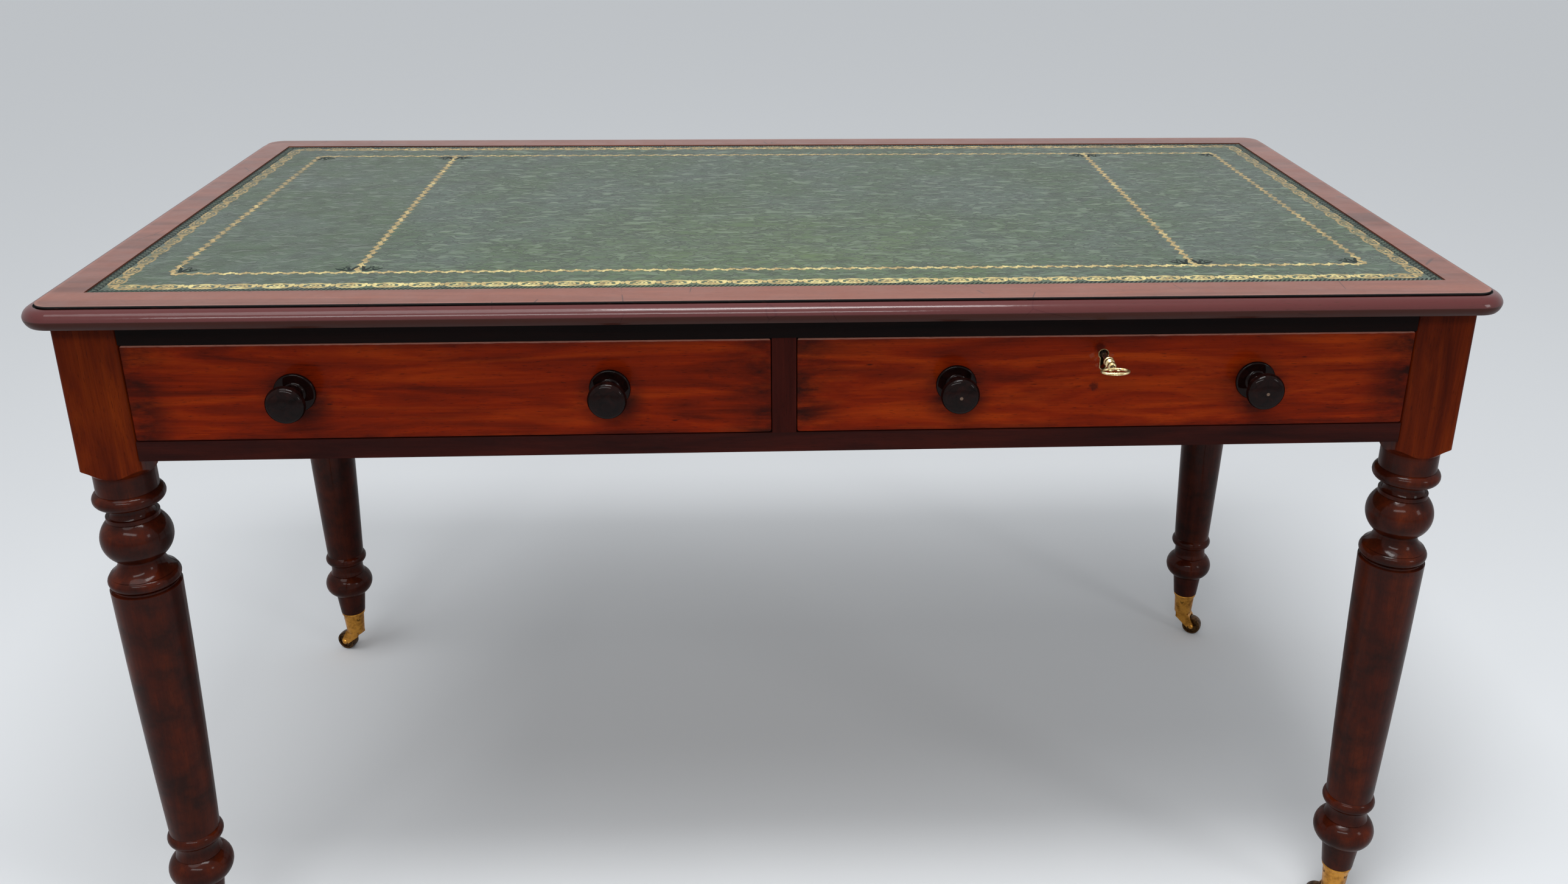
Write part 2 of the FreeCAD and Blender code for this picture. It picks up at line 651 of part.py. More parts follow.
# Walks the turned members down from the block and returns the profile's corners, with the height
# at which the tapered shaft has to start and end.
def leg_profile():
    z = block_low
    corners = [(0, block_low + S.leg_square / 2), (S.shoulder_radius, block_low + S.leg_square / 2)]

    def member(top_radius, foot_radius, depth, rise=None):
        nonlocal z
        corners.append((top_radius, z) if rise is None else (top_radius, z, rise))
        z = z - depth
        corners.append((foot_radius, z))

    member(S.shoulder_radius, S.shoulder_radius, S.shoulder_long)
    member(S.ring_edge, S.ring_edge, S.ring_high, S.ring_radius - S.ring_edge)
    member(S.neck_radius, S.neck_radius, S.neck_high, -S.neck_hollow)
    member(S.fillet_radius, S.fillet_radius, S.fillet_high)
    member(S.ball_edge, S.ball_edge, S.ball_high, S.ball_radius - S.ball_edge)
    member(S.bell_top, S.bell_foot, S.bell_high, -S.bell_hollow)
    member(S.torus_edge, S.torus_edge, S.torus_high, S.torus_radius - S.torus_edge)
    member(S.groove_radius, S.groove_radius, S.groove_high)
    below = (S.collar_high + S.ankle_high + S.foot_high + S.toe_high)
    member(S.shaft_top, S.shaft_foot, z - cup_high - below, S.shaft_swell)
    member(S.collar_edge, S.collar_edge, S.collar_high, S.collar_radius - S.collar_edge)
    member(S.ankle_radius, S.ankle_radius, S.ankle_high, -S.ankle_hollow)
    member(S.foot_edge, S.foot_edge, S.foot_high, S.foot_radius - S.foot_edge)
    member(S.toe_top, S.toe_foot, S.toe_high - S.toe_chamfer)
    inside = S.cup_wall + S.socket_gap
    corners.append((S.toe_foot - S.toe_chamfer, cup_high))
    corners.append((S.cup_top - inside, cup_high))
    corners.append((cup_radius(spigot_low) - inside, spigot_low))
    corners.append((0, spigot_low))
    return corners


# A leg is one piece: a square block with softened arrises, its foot turned to a shoulder, and the
# turned members and tapered shaft below, down to the spigot that sits in the castor's cup.
def make_leg(name):
    leg = body(name + "_body")
    half = S.leg_square / 2
    plan = sketch(leg, "XY_Plane", name + "_plan", block_low)
    outline(plan, rounded_rectangle(-half, half, -half, half, S.leg_arris))
    turned = sketch(leg, "XZ_Plane", name + "_profile")
    outline(turned, leg_profile())
    reach = half * math.sqrt(2) + S.cut_over
    shoulder = sketch(leg, "XZ_Plane", name + "_shoulder")
    outline(shoulder, [
        (S.shoulder_radius + S.cut_over, block_low - S.cut_over), (reach, block_low - S.cut_over),
        (reach, block_low + S.shoulder_cut, -S.shoulder_curve)])
    DOCUMENT.recompute()
    pad(leg, plan, under_top - block_low, name + "_block")
    groove(leg, shoulder, name + "_shoulder_turning")
    revolve(leg, turned, name + "_turning")
    return leg


LEGS = {
    "front_left": (-1, legs_front + S.leg_square / 2), "front_right": (1, legs_front + S.leg_square / 2),
    "back_left": (-1, legs_back - S.leg_square / 2), "back_right": (1, legs_back - S.leg_square / 2),
}
leg_x = placed("leg_x", legs_out - S.leg_square / 2)
castor_screws = []
cup_screw = screw_profile(
    S.screw_shank.value, S.screw_head.value, S.screw_sink.value, S.screw_long.value)
mortises = {
    "top_rail": tenon_box("top_rail_mortise", *top_rail_tenon, gap=S.mortise_gap),
    "bottom_rail": tenon_box("bottom_rail_mortise", *bottom_rail_tenon, gap=S.mortise_gap),
    "back": tenon_box("back_mortise", *back_tenon, gap=S.mortise_gap),
    -1: tenon_box("left_mortise", *side_tenon[-1], gap=S.mortise_gap),
    1: tenon_box("right_mortise", *side_tenon[1], gap=S.mortise_gap),
}
for corner, (side, middle_y) in LEGS.items():
    middle_x = side * leg_x
    turn = getattr(S, "castor_turn_" + corner)
    seats = []
    screw_height = cup_low + S.screw_up
    for index in range(SCREWS_PER_CUP):
        angle = math.radians(turn.value + 360 / SCREWS_PER_CUP * index + FIRST_SCREW_TURN)
        outwards = FreeCAD.Vector(math.cos(angle), math.sin(angle), 0)
        axis_point = FreeCAD.Vector(middle_x.value, middle_y.value, screw_height.value)
        seats.append((axis_point + outwards * cup_radius(screw_height).value, -outwards))
    these_screws = screws("castor_screws_" + corner, cup_screw, seats)
    castor_screws.append(these_screws)
    leg = make_leg("leg_" + corner)
    stand(leg, middle_x, middle_y, measured(0))
    seats_cut = [mortises[side], these_screws]
    seats_cut += [mortises["back"]] if "back" in corner else [mortises["top_rail"], mortises["bottom_rail"]]
    node("leg_" + corner, cut("leg_" + corner, leg, fuse("leg_cuts_" + corner, seats_cut)))
    cup = make_cup("castor_cup_" + corner)
    stand(cup, middle_x, middle_y, measured(0))
    node("castor_cup_" + corner, cut("castor_cup_" + corner, cup, these_screws))
    yoke = make_yoke("castor_yoke_" + corner)
    bind(yoke, "Placement.Rotation.Angle", turn)
    stand(yoke, middle_x, middle_y, measured(0))
    node("castor_yoke_" + corner, yoke)
    wheel = make_wheel("castor_wheel_" + corner)
    flat = FreeCAD.Rotation(FreeCAD.Vector(1, 0, 0), 90)
    swivel = FreeCAD.Rotation(FreeCAD.Vector(0, 0, 1), turn.value)
    hub = FreeCAD.Vector(middle_x.value, middle_y.value, S.wheel_radius.value)
    hub += swivel.multVec(FreeCAD.Vector(S.trail.value, 0, 0))
    wheel.Placement = FreeCAD.Placement(hub, swivel.multiply(flat))
    node("castor_wheel_" + corner, wheel)
node("castor_screws", group("castor_screws", castor_screws))


# --- drawer carriage -----------------------------------------------------------------------------

runner_in = placed("runner_in", legs_in - S.runner_wide)
centre_half = placed("centre_half", S.centre_runner_wide / 2)
for side, name in ((-1, "left"), (1, "right")):
    runner_x = (runner_in, legs_in) if side > 0 else (-legs_in, -runner_in)
    guide_x = (legs_in, apron_in) if side > 0 else (-apron_in, -legs_in)
    node("runner_" + name, box(
        "runner_" + name, (runner_x[0], rail_back, frieze_low),
        (runner_x[1], back_apron_in, opening_low)))
    node("guide_" + name, box(
        "guide_" + name, (guide_x[0], front_inner, frieze_low),
        (guide_x[1], back_inner, frieze_low + S.guide_high)))
    node("kicker_" + name, cut("kicker_" + name, box(
        "kicker_strip_" + name, (runner_x[0], rail_back, opening_top),
        (runner_x[1], back_apron_in, under_top)), top_screws))
node("runner_centre", box(
    "runner_centre", (-centre_half, rail_back, frieze_low), (centre_half, back_apron_in, opening_low)))
node("guide_centre", box(
    "guide_centre", (-stile_right, rail_back, opening_low),
    (stile_right, back_apron_in, opening_low + S.guide_centre_high)))
node("kicker_centre", cut("kicker_centre", box(
    "kicker_strip_centre", (-centre_half, rail_back, opening_top),
    (centre_half, back_apron_in, under_top)), top_screws))

stops = []
for side in (-1, 1):
    for place in (-1, 1):
        middle = side * drawer_middle + place * S.stop_from_middle
        stops.append(box(
            "drawer_stop_{}_{}".format(side + 1, place + 1),
            (middle - S.stop_long / 2, front_back + S.stop_gap, opening_low),
            (middle + S.stop_long / 2, front_back + S.stop_gap + S.stop_deep,
             opening_low + S.stop_high)))
node("drawer_stops", group("drawer_stops", stops))

# Two glue blocks stand at the quarter points of each stretch between the kickers or the legs.
glue_blocks = []
bay_quarter = (runner_in - centre_half) / 4
for side in (-1, 1):
    for place in (1, 3):
        middle = side * (centre_half + bay_quarter * place)
        glue_blocks.append(box(
            "glue_block_back_{}_{}".format(side + 1, place),
            (middle - S.block_long / 2, back_apron_in - S.block_side, under_top - S.block_side),
            (middle + S.block_long / 2, back_apron_in, under_top)))
side_quarter = (back_inner - front_inner) / 4
for side in (-1, 1):
    inner, outer = (apron_in - S.block_side, apron_in) if side > 0 else (-apron_in, S.block_side - apron_in)
    for place in (1, 3):
        middle = front_inner + side_quarter * place
        glue_blocks.append(box(
            "glue_block_side_{}_{}".format(side + 1, place),
            (inner, middle - S.block_long / 2, under_top - S.block_side),
            (outer, middle + S.block_long / 2, under_top)))
node("glue_blocks", group("glue_blocks", glue_blocks))


# --- drawers -------------------------------------------------------------------------------------

side_low = placed("side_low", opening_low + S.running_gap)
side_high = placed("side_high", opening_top - S.side_clear_top)
bottom_low = placed("bottom_low", side_low + S.bottom_rise)
bottom_high = placed("bottom_high", bottom_low + S.bottom_thick)
back_high = placed("back_high", side_high - S.back_drop)
tail_line = placed("tail_line", face + S.lap_thick)
drawer_end = placed("drawer_end", back_apron_in - S.drawer_back_gap)
pin_line = placed("pin_line", drawer_end - S.back_thick)
spigot_long = placed("spigot_long", S.front_thick - S.spigot_cover)


# The edge of a board between two heights, stepped out from one line to another in dovetails.
def tails(line, tip_line, low, high, count, root, tip):
    pitch = (high - low) / count
    steps = []
    for index in range(count):
        middle = low + pitch * (index + 0.5)
        steps += [
            (line, middle - root / 2), (tip_line, middle - tip / 2),
            (tip_line, middle + tip / 2), (line, middle + root / 2)]
    return steps


def make_side(name, near):
    board = body(name + "_board")
    drawing = sketch(board, "YZ_Plane", name + "_outline")
    front_steps = tails(front_back, tail_line, side_low, side_high, TAILS_FRONT, S.tail_root, S.tail_tip)
    back_steps = tails(pin_line, drawer_end, bottom_high, back_high, TAILS_BACK,
                       S.back_tail_root, S.back_tail_tip)
    around = [(front_back, side_low)] + front_steps + [(front_back, side_high), (drawer_end, side_high)]
    around += [(drawer_end, back_high), (pin_line, back_high)] + back_steps[::-1]
    around += [(pin_line, bottom_high), (drawer_end, bottom_high), (drawer_end, side_low)]
    outline(drawing, around[::-1])
    DOCUMENT.recompute()
    pad(board, drawing, S.side_thick, name + "_pad")
    bind(board, "Placement.Base.x", near)
    return board


# A keyhole as a solid: a round head with a round-ended slot hanging from it.
def keyhole(name, grow, near, depth):
    head_z = front_top - S.keyhole_drop
    foot_z = head_z - S.keyhole_long
    parts = [
        bar_forward(name + "_head", S.keyhole_head + grow, (lock_middle, near + depth, head_z), depth),
        box(name + "_slot", (lock_middle - S.keyhole_slot - grow, near, foot_z),
            (lock_middle + S.keyhole_slot + grow, near + depth, head_z)),
        bar_forward(name + "_foot", S.keyhole_slot + grow, (lock_middle, near + depth, foot_z), depth)]
    return fuse(name, parts)


# Turned knob: a flat round base, a slim neck with a bead, a mushroom head and a spigot behind.
def make_knob(name, x, z):
    knob = body(name + "_body")
    drawing = sketch(knob, "XZ_Plane", name + "_profile")
    bead_low = S.knob_bead_at - S.knob_bead_thick / 2
    bead_high = S.knob_bead_at + S.knob_bead_thick / 2
    outline(drawing, [
        (0, -spigot_long), (S.knob_spigot, -spigot_long), (S.knob_spigot, 0),
        (S.knob_base, 0, -S.knob_base_curve), (S.knob_base - S.knob_base_lip, S.knob_base_thick),
        (S.knob_neck + S.knob_flare, S.knob_base_thick, S.knob_flare_curve), (S.knob_neck, bead_low),
        (S.knob_neck, bead_low + S.knob_step, -(S.knob_bead - S.knob_neck)),
        (S.knob_neck, bead_high), (S.knob_neck - S.knob_step, S.knob_back_at, S.knob_back_curve),
        (S.knob_head, S.knob_head_at, -S.knob_head_curve),
        (S.knob_face, S.knob_face_at, -S.knob_face_curve),
        (S.knob_peg, S.knob_long), (0, S.knob_long)])
    DOCUMENT.recompute()
    revolve(knob, drawing, name + "_turning")
    knob.Placement = FreeCAD.Placement(
        FreeCAD.Vector(0, 0, 0), FreeCAD.Rotation(FreeCAD.Vector(1, 0, 0), 90))
    stand(knob, x, face, z)
    return node(name, knob)


def make_lock():
    head_z = front_top - S.keyhole_drop
    case_near = front_back - S.lock_deep
    case_low = front_top - S.lock_high
    left = lock_middle - S.lock_wide / 2
    right = lock_middle + S.lock_wide / 2
    selvedge_near = bolt_near - S.lock_wall
    selvedge = (
        (lock_middle - S.selvedge_wide / 2, selvedge_near, front_top - S.selvedge_thick),
        (lock_middle + S.selvedge_wide / 2, front_back, front_top))
    shell = fuse("lock_shell", [
        box("lock_block", (left, case_near, case_low), (right, front_back, front_top)),
        box("lock_selvedge", *selvedge)])
    hollow = box(
        "lock_hollow", (left + S.lock_wall, case_near + S.lock_wall, case_low + S.lock_wall),
        (right - S.lock_wall, front_back - S.lock_wall, front_top - S.selvedge_thick))
    slot = box(
        "bolt_slot",
        (lock_middle - S.bolt_wide / 2 - S.bolt_gap, bolt_near - S.bolt_gap, front_top - S.selvedge_thick),
        (lock_middle + S.bolt_wide / 2 + S.bolt_gap, bolt_far, front_top))
    entry = keyhole("lock_entry", 0, case_near, S.lock_wall)
    lock_screw = screw_profile(
        S.lock_screw_shank.value, S.lock_screw_head.value, S.lock_screw_sink.value,
        S.lock_screw_long.value)
    lug = S.selvedge_wide / 2 - S.lock_screw_inset
    seats = [
        (FreeCAD.Vector(lock_middle.value + lug.value * sign,
                        (selvedge_near.value + front_back.value) / 2, front_top.value),
         FreeCAD.Vector(0, 0, -1))
        for sign in (-1, 1)]
    fixings = node("lock_screws", screws("lock_screws", lock_screw, seats))
    node("lock_case", cut("lock_case", shell, fuse("lock_cuts", [hollow, slot, entry, fixings])))
    node("lock_bolt", box(
        "lock_bolt",
        (lock_middle - S.bolt_wide / 2, bolt_near, front_top - S.bolt_high),
        (lock_middle + S.bolt_wide / 2, bolt_far - S.bolt_gap, front_top)))
    lining = cut(
        "escutcheon_ring",
        keyhole("escutcheon_out", S.escutcheon_wall, face - S.bolt_gap, S.escutcheon_deep + S.bolt_gap),
        keyhole("escutcheon_in", 0, face - S.bolt_gap, S.escutcheon_deep + S.bolt_gap))
    node("escutcheon", lining)
    through = keyhole("front_keyhole", 0, face, S.front_thick - S.lock_deep)
    seat = keyhole("escutcheon_seat", S.escutcheon_wall, face, S.escutcheon_deep)
    pockets = [
        through, seat, fixings,
        box("lock_recess", (left, case_near, case_low), (right, front_back, front_top)),
        box("selvedge_recess", *selvedge)]
    make_key(head_z, case_near)
    return pockets


# The key: a steel shank and bit, and a brass collar, ball and open oval bow.
def make_key(head_z, case_near):
    tip = bolt_near - S.key_tip_gap
    shank_long = tip - face + S.key_ring_at
    shank = bar_forward("key_bar", S.key_shank, (lock_middle, tip, head_z), shank_long)
    bit_near = case_near + S.lock_wall + S.bolt_gap
    bit = box(
        "key_bit", (lock_middle, bit_near, head_z - S.key_bit_thick / 2),
        (lock_middle + S.key_bit_high, bit_near + S.key_bit_wide, head_z + S.key_bit_thick / 2))
    node("key_shank", fuse("key_shank", [shank, bit]))
    bow_at = S.key_reach - S.bow_half_deep - S.bow_wire
    stem = body("key_stem")
    drawing = sketch(stem, "XZ_Plane", "key_stem_profile")
    ring_end = S.key_ring_at + S.key_ring_long
    band_end = ring_end + S.key_step + S.key_band_long
    outline(drawing, [
        (0, S.key_ring_at), (S.key_neck, S.key_ring_at),
        (S.key_ring, S.key_ring_at, -S.key_ring_swell), (S.key_ring, ring_end),
        (S.key_band, ring_end + S.key_step, -S.key_band_swell), (S.key_band, band_end),
        (S.key_neck, band_end + S.key_cone_long),
        (S.key_neck, S.key_ball_at - S.key_ball_long / 2, -S.key_ball_swell),
        (S.key_neck, S.key_ball_at + S.key_ball_long / 2),
        (S.key_foot, bow_at - S.bow_half_deep), (0, bow_at - S.bow_half_deep)])
    DOCUMENT.recompute()
    revolve(stem, drawing, "key_stem_turning")
    ring = DOCUMENT.addObject("Part::Ellipse", "key_bow_line")
    bind(ring, "MajorRadius", S.bow_half_wide)
    bind(ring, "MinorRadius", S.bow_half_deep)
    ring.Placement = FreeCAD.Placement(
        FreeCAD.Vector(0, 0, bow_at.value), FreeCAD.Rotation(FreeCAD.Vector(1, 0, 0), 90))
    bind(ring, "Placement.Base.z", bow_at)
    wire = DOCUMENT.addObject("Part::Circle", "key_bow_wire")
    bind(wire, "Radius", S.bow_wire)
    wire.Placement = FreeCAD.Placement(
        FreeCAD.Vector(S.bow_half_wide.value, 0, bow_at.value), FreeCAD.Rotation())
    bind(wire, "Placement.Base.x", S.bow_half_wide)
    bind(wire, "Placement.Base.z", bow_at)
    bow = DOCUMENT.addObject("Part::Sweep", "key_bow_ring")
    bow.Sections = [wire]
    bow.Spine = (ring, ["Edge1"])
    bow.Solid = True
    bow.Frenet = True
    whole = fuse("key_bow", [stem, bow])
    whole.Placement = FreeCAD.Placement(
        FreeCAD.Vector(0, 0, 0), FreeCAD.Rotation(FreeCAD.Vector(1, 0, 0), 90))
    stand(whole, lock_middle, face, head_z)
    node("key_bow", whole)


def make_drawer(name, left, right, extra_pockets):
    middle = (left + right) / 2
    knob_z = (front_low + front_top) / 2
    spigots = []
    for side, sign in (("left", -1), ("right", 1)):
        x = middle + sign * S.knob_pitch / 2
        make_knob("{}_knob_{}".format(name, side), x, knob_z)
        spigots.append(bar_forward(
            "{}_spigot_hole_{}".format(name, side), S.knob_spigot,
            (x, face + spigot_long, knob_z), spigot_long))
    bottom = node(name + "_bottom", box(
        name + "_bottom",
        (left + S.side_thick - S.groove_deep, front_back - S.front_groove, bottom_low),
        (right - S.side_thick + S.groove_deep, drawer_end, bottom_high)))
    sides = []
    for side, near in (("left", left), ("right", right - S.side_thick)):
        title = "{}_side_{}".format(name, side)
        sides.append(node(title, cut(title, make_side(title, near), bottom)))
    blank = body(name + "_front_body")
    drawing = sketch(blank, "XZ_Plane", name + "_front_outline", -front_back)
    outline(drawing, rounded_rectangle(left, right, front_low, front_top, S.front_corner))
    DOCUMENT.recompute()
    board = pad(blank, drawing, S.front_thick, name + "_front_pad")
    DOCUMENT.recompute()
    flat = [
        "Face{}".format(index) for index, side in enumerate(board.Shape.Faces, start=1)
        if side.normalAt(0, 0).y < -0.99]
    eased = blank.newObject("PartDesign::Fillet", name + "_front_arris")
    eased.Base = (board, flat)
    bind(eased, "Radius", S.front_arris)
    tools = fuse(name + "_front_cuts", [bottom] + sides + spigots + extra_pockets)
    node(name + "_front", cut(name + "_front", blank, tools))
    rear = box(name + "_back_blank", (left, pin_line, bottom_high), (right, drawer_end, back_high))
    node(name + "_back", cut(name + "_back", rear, fuse(name + "_back_cuts", sides)))


outer_edge = legs_in - S.drawer_gap
inner_edge = stile_right + S.drawer_gap
make_drawer("drawer_left", -outer_edge, -inner_edge, [])
make_drawer("drawer_right", inner_edge, outer_edge, make_lock())


# --- check and write -----------------------------------------------------------------------------

# A pocket or groove that points away from its body takes nothing off, and shows no fault.
def cuts_nothing(thing):
    if thing.TypeId not in ("PartDesign::Pocket", "PartDesign::Groove"):
        return False
    return thing.Shape.Volume > thing.BaseFeature.Shape.Volume - 1


def check_document():
    DOCUMENT.recompute()
    faults = [
        thing.Name + " " + " ".join(thing.State) for thing in DOCUMENT.Objects
        if "Invalid" in thing.State or "Error" in thing.State]
    faults += [
        name + " has no valid shape" for name, thing in NODES.items()
        if thing.Shape.isNull() or not thing.Shape.isValid() or not thing.Shape.Solids]
    faults += [thing.Name + " cuts nothing" for thing in DOCUMENT.Objects if cuts_nothing(thing)]
    if faults:
        raise RuntimeError("; ".join(faults))


def write_parts():
    os.makedirs("parts", exist_ok=True)
    for name, thing in NODES.items():
        thing.Shape.exportStep("parts/{}.step".format(name))
    print(len(NODES), "nodes written")


check_document()
write_parts()
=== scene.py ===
import math
import bpy
import numpy as np
from mathutils import Matrix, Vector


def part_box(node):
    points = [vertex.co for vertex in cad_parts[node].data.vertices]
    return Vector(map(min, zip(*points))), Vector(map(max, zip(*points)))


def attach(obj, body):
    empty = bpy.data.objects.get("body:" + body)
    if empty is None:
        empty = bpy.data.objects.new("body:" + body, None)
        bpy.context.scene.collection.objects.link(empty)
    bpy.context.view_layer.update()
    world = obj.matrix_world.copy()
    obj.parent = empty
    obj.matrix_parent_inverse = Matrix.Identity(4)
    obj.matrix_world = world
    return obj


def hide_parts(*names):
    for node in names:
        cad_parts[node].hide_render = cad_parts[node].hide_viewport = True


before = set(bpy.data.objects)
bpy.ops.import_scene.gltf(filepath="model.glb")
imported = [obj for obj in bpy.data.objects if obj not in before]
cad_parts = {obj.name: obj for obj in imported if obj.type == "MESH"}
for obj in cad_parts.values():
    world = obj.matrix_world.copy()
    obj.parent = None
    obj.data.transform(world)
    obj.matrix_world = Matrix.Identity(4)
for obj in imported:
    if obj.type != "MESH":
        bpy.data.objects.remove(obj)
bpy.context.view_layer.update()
print("frame loaded")

# A library writing table: French polished mahogany, a tooled leather lining, brass castors and a lock.
# Metres, Z up, X along the front, the drawers face -Y, the floor is at nought.

mm = 0.001


# Colours are written as sRGB hex and turned to the linear values that shaders expect.
def linearColour(code):
    parts = [int(code[i:i + 2], 16) / 255 for i in (1, 3, 5)]
    return [c / 12.92 if c < 0.04045 else ((c + 0.055) / 1.055) ** 2.4 for c in parts] + [1]


def wire(tree, node, links):
    for name, value in links.items():
        if isinstance(value, bpy.types.NodeSocket):
            tree.links.new(value, node.inputs[name])
        else:
            node.inputs[name].default_value = value


# Adds a shader node with its settings and links, and gives back one of its outputs.
def addNode(tree, kind, links=None, ramp=None, out=0, **settings):
    node = tree.nodes.new("ShaderNode" + kind)
    for name, value in settings.items():
        setattr(node, name, value)
    wire(tree, node, links or {})
    if ramp:
        stops = node.color_ramp.elements
        stops[0].position, stops[-1].position = ramp[0][0], ramp[-1][0]
        for place, _ in ramp[1:-1]:
            stops.new(place)
        for stop, (_, code) in zip(stops, ramp):
            stop.color = linearColour(code)
    return node.outputs[out]


def newMaterial(name):
    material = bpy.data.materials.new(name)
    material.use_nodes = True
    return material, material.node_tree


def finish(tree, links):
    wire(tree, tree.nodes["Principled BSDF"], links)


def giveMaterial(material, *names):
    for name in names:
        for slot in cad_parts[name].material_slots:
            slot.material = material


# How a pattern is drawn out along the fibres: the same squeeze on the one axis that they follow.
def alongFibres(axis, stretch):
    return [1 / stretch if letter == axis else 1 for letter in "xyz"]


# French polished mahogany: a slow ribbon figure, fine fibre, open pores and old stains under a
# clear coat, so it looks deep, uneven and softly glossy rather than painted. The hook given last may
# repaint it with real marks and with painted shade.
def polishedMahogany(name, look, shadeAndWear=None):
    material, tree = newMaterial(name)
    position = addNode(tree, "TexCoord", out="Object")
    board = addNode(tree, "Mapping", {
        "Vector": position, "Location": look["offset"], "Rotation": look["lean"],
        "Scale": alongFibres(look["along"], look["figureStretch"])})
    thread = addNode(tree, "Mapping", {
        "Vector": position, "Rotation": look["lean"], "Scale": alongFibres(look["along"], 40)})
    fleck = addNode(tree, "Mapping", {
        "Vector": position, "Rotation": look["lean"], "Scale": alongFibres(look["along"], 9)})
    figure = addNode(tree, "TexNoise", {
        "Vector": board, "Scale": 1 / (look["figureMm"] * mm), "Detail": 5, "Roughness": 0.6,
        "Distortion": look["curl"]})
    colour = addNode(tree, "ValToRGB", {"Fac": figure}, ramp=[
        (0.30, look["dark"]), (0.49, look["body"]), (0.72, look["light"])])
    fibre = addNode(tree, "TexNoise", {
        "Vector": thread, "Scale": 1 / (look["fibreMm"] * mm), "Detail": 5, "Roughness": 0.7})
    tone = addNode(tree, "MapRange", {
        "Value": fibre, "From Min": 0.3, "From Max": 0.7,
        "To Min": 1 - look["fibreDepth"], "To Max": 1 + look["fibreDepth"] * 0.6})
    colour = addNode(tree, "MixRGB", {"Fac": 1, "Color1": colour, "Color2": tone}, blend_type="MULTIPLY")
    blotch = addNode(tree, "TexNoise", {
        "Vector": board, "Scale": 1 / (look["stainMm"] * mm), "Detail": 4, "Roughness": 0.62})
    stain = addNode(tree, "MapRange", {
        "Value": blotch, "From Min": 0.52, "From Max": 0.74, "To Min": 0, "To Max": look["stain"]},
        interpolation_type="SMOOTHSTEP")
    colour = addNode(tree, "MixRGB", {"Fac": stain, "Color1": colour, "Color2": linearColour(look["stainColour"])})
    coat = look["coat"]
    if shadeAndWear:
        colour, coat = shadeAndWear(tree, position, colour, coat)
    pore = addNode(tree, "TexNoise", {
        "Vector": fleck, "Scale": 1 / (look["poreMm"] * mm), "Detail": 2, "Roughness": 0.5})
    pit = addNode(tree, "MapRange", {"Value": pore, "From Min": 0.62, "From Max": 0.74, "To Min": 0, "To Max": 0.55})
    colour = addNode(tree, "MixRGB", {"Fac": pit, "Color1": colour, "Color2": linearColour(look["stainColour"])})
    smudge = addNode(tree, "TexNoise", {"Vector": position, "Scale": 1 / (40 * mm), "Detail": 4, "Roughness": 0.7})
    rough = addNode(tree, "MapRange", {
        "Value": smudge, "From Min": 0.3, "From Max": 0.7, "To Min": look["rough"] - 0.07, "To Max": look["rough"] + 0.1})
    relief = addNode(tree, "Math", {0: fibre, 1: pit}, operation="SUBTRACT")
    wave = addNode(tree, "TexNoise", {"Vector": position, "Scale": 1 / (22 * mm), "Detail": 2})
    soft = addNode(tree, "Bump", {"Height": wave, "Strength": 0.25, "Distance": 0.8 * mm})
    bump = addNode(tree, "Bump", {"Height": relief, "Strength": look["relief"], "Distance": 0.12 * mm, "Normal": soft})
    finish(tree, {
        "Base Color": colour, "Roughness": rough, "IOR": 1.5, "Normal": bump,
        "Specular IOR Level": look["specular"], "Coat Weight": coat,
        "Coat Roughness": look["coatRough"], "Coat Normal": soft})
    return material


# What every board shares; each finish below changes only what differs.
boardLook = {
    "along": "x", "offset": (0, 0, 0), "lean": (0, 0, 0), "figureMm": 26, "figureStretch": 9, "curl": 0.8,
    "fibreMm": 1.5, "fibreDepth": 0.22, "poreMm": 0.9, "stainMm": 60, "stain": 0.55,
    "dark": "#4a1b0c", "body": "#76300f", "light": "#93461a", "stainColour": "#1d0a06",
    "rough": 0.36, "relief": 0.35, "specular": 0.1, "coat": 0.15, "coatRough": 0.14,
}


# Soft darkening within reach of the chosen edges of a node's box: 1 at the edge, 0 further in.
# On the drawer fronts it is painted shade at the ends and edges.
def paintedEdgeShade(tree, position, node, axes, reach):
    low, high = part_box(node)
    centre = [(a + b) / 2 for a, b in zip(low, high)]
    half = [(b - a) / 2 for a, b in zip(low, high)]
    shifted = addNode(tree, "VectorMath", {0: position, 1: centre}, operation="SUBTRACT")
    away = addNode(tree, "VectorMath", {0: shifted}, operation="ABSOLUTE")
    parts = addNode(tree, "SeparateXYZ", {"Vector": away}).node.outputs
    grimeAndShade = 0
    for axis, width, strength in zip(axes, reach, axes.values()):
        index = "xyz".index(axis)
        edge = addNode(tree, "MapRange", {
            "Value": parts[index], "From Min": half[index] - width, "From Max": half[index],
            "To Min": 0, "To Max": strength}, interpolation_type="SMOOTHSTEP")
        grimeAndShade = addNode(tree, "Math", {0: edge, 1: grimeAndShade}, operation="MAXIMUM")
    return grimeAndShade


# The same about a point, such as a knob's foot: full inside near, gone at far.
def spotGrime(tree, position, centre, near, far, strength):
    gap = addNode(tree, "VectorMath", {0: position, 1: centre}, out=1, operation="DISTANCE")
    return addNode(tree, "MapRange", {
        "Value": gap, "From Min": near, "From Max": far, "To Min": strength, "To Max": 0},
        interpolation_type="SMOOTHSTEP")


def nodeMiddle(name):
    low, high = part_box(name)
    return [(a + b) / 2 for a, b in zip(low, high)]


